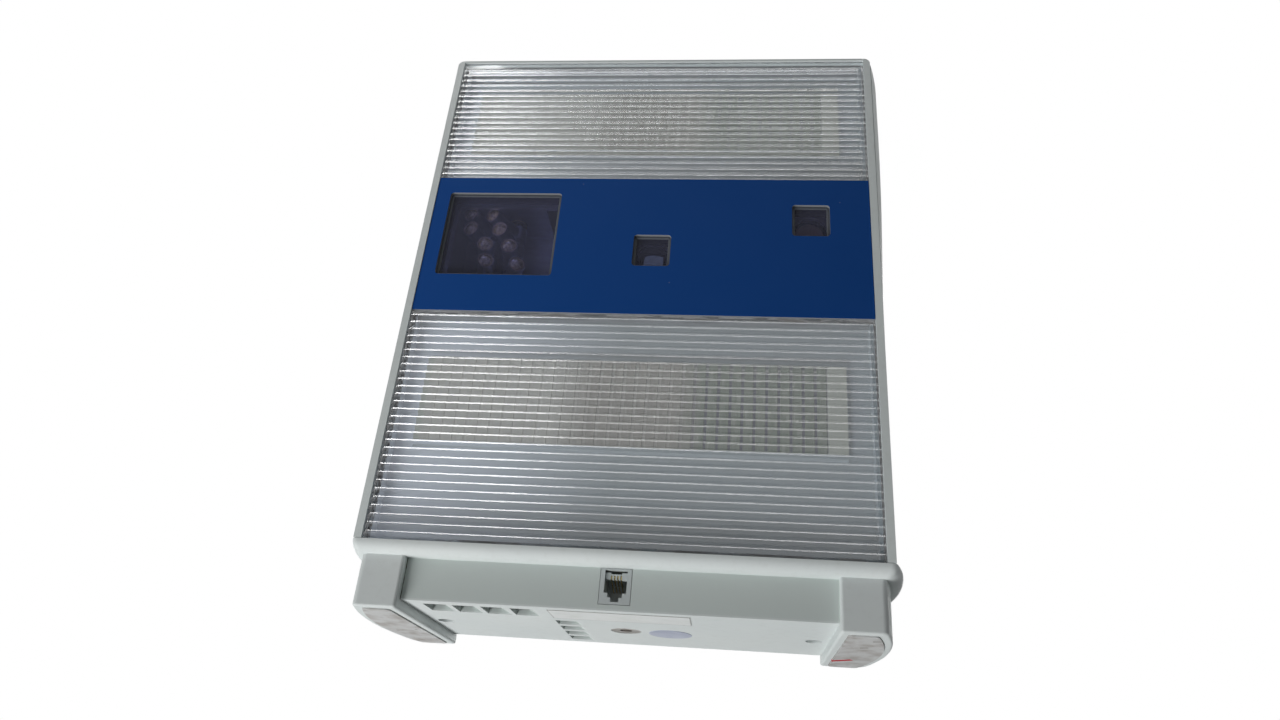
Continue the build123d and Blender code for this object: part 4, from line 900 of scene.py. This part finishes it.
def laserOptics(side, node, body, form):
    # Each lens is a dome, dome * (1 - (r / radius) ** 2) high over the barrel's front, in a
    # turned bezel; place and axis of each come from the lens of the frame it stands for.
    mesh = nodes[node].data
    points = np.empty(len(mesh.vertices) * 3)
    mesh.vertices.foreach_get("co", points)
    points = points.reshape(-1, 3)
    points = points[np.argsort(points[:, 2])]
    gaps = np.argsort(np.diff(points[:, 2]))[-(form["rows"] - 1):]  # the widest part the rows
    share = np.linspace(0, 1, form["rings"])
    dome = [(form["radius"] * t, form["dome"] * (1 - t * t)) for t in share]
    back = -form["seat"] * form["backShare"]
    profile = dome + [(form["radius"], back), (0.0, back)]
    glass, bezels = [], []
    for lens in np.split(points, np.sort(gaps) + 1):
        unique = np.unique(np.round(lens, 7), axis=0)  # spread least along the lens's axis
        axis = np.linalg.svd(unique - unique.mean(0), full_matrices=False)[2][2]
        axis *= -np.sign(axis[1])
        middle = (lens.min(0) + lens.max(0)) / 2
        along = (lens - middle) @ axis
        base = middle + axis * (along.min() + form["seat"])
        glass.append(turned(profile, form["steps"], base, axis))
        bezels.append(turned(form["bezel"], form["steps"], base, axis))
    piece = addPiece(side + "LaserLensDomes", *joined(glass), "lens_glass", body, form["smoothAngle"])
    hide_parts(node)
    addPiece(side + "LaserBezels", *joined(bezels), "black_plastic", body, form["bezelAngle"], finish="bezel")


laserOptics("left", "left_laser_lenses", "left_column", lensForm)
laserOptics("right", "right_laser_lenses", "right_column", lensForm)
print("laser lenses and bezels made")


jackForm = {
    "middle": -0.0005, "setBack": 0.0012, "depth": 0.0028, "halfWidth": 0.00425,
    "low": 0.0166, "high": 0.0193, "notch": 0.0021, "notchLow": 0.0187,
    "slotTop": 0.0182, "slotHalf": 0.0003, "pitch": 0.00125, "count": 4, "round": 0.00015,
    "wire": 0.00022, "wireSides": 8, "wireSteps": 49, "wireStart": 0.01935, "wireEnd": 0.0136,
    "wireWay": ((0.0045, 0.01925), (0.0022, 0.0186), (0.0017, 0.0176), (0.0021, 0.0167), (0.0042, 0.0158)),
    "smoothAngle": 40,
}


def contactPlaces(form):
    # X of each contact, spread evenly about the jack's middle
    return form["middle"] + (np.arange(form["count"]) - (form["count"] - 1) / 2) * form["pitch"]


def jackComb(form):
    # the guide comb in the roof of the jack: one outline with four slots below and a wide
    # notch above, carried back from the mouth, its edges rounded
    left, right = form["middle"] - form["halfWidth"], form["middle"] + form["halfWidth"]
    notchLeft, notchRight = form["middle"] - form["notch"], form["middle"] + form["notch"]
    outline = [(left, form["low"])]
    for x in contactPlaces(form):
        start, end = x - form["slotHalf"], x + form["slotHalf"]
        outline += [(start, form["low"]), (start, form["slotTop"]),
                    (end, form["slotTop"]), (end, form["low"])]
    outline += [(right, form["low"]), (right, form["high"]), (notchRight, form["high"]),
                (notchRight, form["notchLow"]), (notchLeft, form["notchLow"]), (notchLeft, form["high"]),
                (left, form["high"])]
    flat = np.array(outline)
    count = len(flat)
    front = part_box("jack_housing")[0].y + form["setBack"]
    layers = [np.stack([flat[:, 0], np.full(count, y), flat[:, 1]], 1)
              for y in (front, front + form["depth"])]
    step = np.arange(count)
    after = (step + 1) % count
    sides = np.stack([step, after, after + count, step + count], 1).tolist()
    faces = sides + [step[::-1].tolist(), (step + count).tolist()]
    piece = addPiece("jackComb", np.concatenate(layers), faces, "socket_grey")
    bevel = piece.modifiers.new("edges", "BEVEL")
    bevel.width = form["round"]
    bevel.segments = 2
    bevel.limit_method = "ANGLE"


def smoothed(way, t):
    # Catmull-Rom curve through the points of way, t counted in points from the first
    padded = np.concatenate([way[:1], way, way[-1:]])
    start = np.clip(t.astype(int), 0, len(way) - 2)
    u = (t - start)[:, None]
    a, b, c, d = (padded[start + k] for k in range(4))
    curve = 0.5 * (2 * b + (c - a) * u + (2 * a - 5 * b + 4 * c - d) * u ** 2
                   + (3 * b - a - 3 * c + d) * u ** 3)
    return curve[:, 0], curve[:, 1]


def jackWires(form):
    # Sprung wires: forward along the roof, round the front of the comb's slots and back down.
    # Each is a round tube along y(t), z(t) through a few points, smoothed by a spline; the
    # points between its two ends count from the front of the housing.
    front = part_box("jack_housing")[0].y
    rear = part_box("jack_contacts")[1].y
    between = [(front + y, z) for y, z in form["wireWay"]]
    way = np.array([(rear, form["wireStart"])] + between + [(rear, form["wireEnd"])])
    t = np.linspace(0, len(way) - 1, form["wireSteps"])
    y, z = smoothed(way, t)
    slope = np.stack([np.gradient(y), np.gradient(z)], 1)
    slope /= np.linalg.norm(slope, axis=1)[:, None]
    sides = form["wireSides"]
    turn = np.arange(sides) * math.pi * 2 / sides
    parts = []
    for x in contactPlaces(form):
        ring = np.empty((len(t), sides, 3))
        ring[..., 0] = x + form["wire"] * np.cos(turn)
        ring[..., 1] = y[:, None] - form["wire"] * np.sin(turn) * slope[:, 1:]
        ring[..., 2] = z[:, None] + form["wire"] * np.sin(turn) * slope[:, :1]
        index = np.arange(len(t) * sides).reshape(len(t), sides)
        around = np.roll(index, -1, 1)
        quads = np.stack([index[:-1], around[:-1], around[1:], index[1:]], -1).reshape(-1, 4).tolist()
        parts.append((ring.reshape(-1, 3), quads + [index[0].tolist(), index[-1][::-1].tolist()]))
    piece = addPiece("jackWires", *joined(parts), "brass", smoothAngle=form["smoothAngle"])
    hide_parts("jack_contacts")


jackComb(jackForm)
jackWires(jackForm)
print("jack comb and wires made")


threadForm = {
    "pitch": 0.00127, "crest": 0.0023, "root": 0.00265, "wall": 0.00285, "inset": 0.0006,
    "length": 0.0068, "around": 36, "perTurn": 8, "smoothAngle": 50,
}


def insertThread(form):
    # The thread in the insert's bore: radius = root - (root - crest) * w, where w is a
    # triangle wave of height / pitch minus the turn, which fades out over a pitch at each end;
    # a plain outer skin closes it.
    low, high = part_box("tripod_insert")
    centre = ((low.x + high.x) / 2, (low.y + high.y) / 2)
    rows = int(form["length"] / form["pitch"] * form["perTurn"])
    height = np.linspace(0, form["length"], rows)
    angle = np.arange(form["around"]) * 2 * math.pi / form["around"]
    phase = (height[:, None] / form["pitch"] - angle[None] / (2 * math.pi)) % 1
    wave = 1 - np.abs(2 * phase - 1)
    fade = np.clip(np.minimum(height, height[::-1]) / form["pitch"], 0, 1)[:, None]
    inner = form["root"] - (form["root"] - form["crest"]) * wave * fade
    radius = np.stack([inner, np.full_like(inner, form["wall"])])
    z = low.z + form["inset"] + height
    points = np.empty((2, rows, form["around"], 3))
    points[..., 0] = centre[0] + radius * np.cos(angle)
    points[..., 1] = centre[1] + radius * np.sin(angle)
    points[..., 2] = z[None, :, None]
    index = np.arange(points.size // 3).reshape(2, rows, form["around"])
    index = np.concatenate([index, index[..., :1]], -1)
    faces = np.concatenate([gridFaces(index[0]), gridFaces(index[1])[:, ::-1],
                            gridFaces(index[:, 0]), gridFaces(index[:, -1])[:, ::-1]])
    addPiece("insertThread", points.reshape(-1, 3), faces, "brass",
             smoothAngle=form["smoothAngle"], finish="nickel")


insertThread(threadForm)
print("insert thread made")


gasketForm = {
    "paneOverlap": 0.002, "corner": 0.0016, "perCorner": 8, "smoothAngle": 30,
    "profile": ((0.00006, 0.0), (0.00006, 0.00035), (0.0009, 0.00035), (0.0014, 0.0)),
}


def paneGasket(name, node, form):
    # A profile of (inset, rise) carried round the window: each corner is an arc of radius
    # corner - inset about the same centre, so the strip keeps its width all the way round.
    low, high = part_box(node)
    middle = np.array([(low.x + high.x) / 2, (low.z + high.z) / 2])
    halfPane = np.array([(high.x - low.x) / 2, (high.z - low.z) / 2])
    reach = halfPane - form["paneOverlap"] - form["corner"]
    quarter = np.linspace(0, math.pi / 2, form["perCorner"])
    angle = quarter[None] + np.arange(4)[:, None] * math.pi / 2
    sign = np.array([(1, 1), (-1, 1), (-1, -1), (1, -1)])
    centre = np.repeat(middle + sign * reach, form["perCorner"], 0)
    out = np.stack([np.cos(angle).ravel(), np.sin(angle).ravel()], 1)
    profile = np.array(form["profile"])
    flat = centre[:, None] + out[:, None] * (form["corner"] - profile[None, :, :1])
    points = np.empty((len(out), len(profile), 3))
    points[..., 0] = flat[..., 0]
    points[..., 1] = low.y - profile[:, 1]
    points[..., 2] = flat[..., 1]
    addPiece(name, points.reshape(-1, 3), turnedFaces(len(out), len(profile), True), "dark_plastic",
             smoothAngle=form["smoothAngle"], finish="gasket")


paneGasket("laserPaneGasket", "laser_window_pane", gasketForm)
paneGasket("centrePaneGasket", "centre_camera_pane", gasketForm)
paneGasket("rightPaneGasket", "right_camera_pane", gasketForm)
print("pane gaskets made")
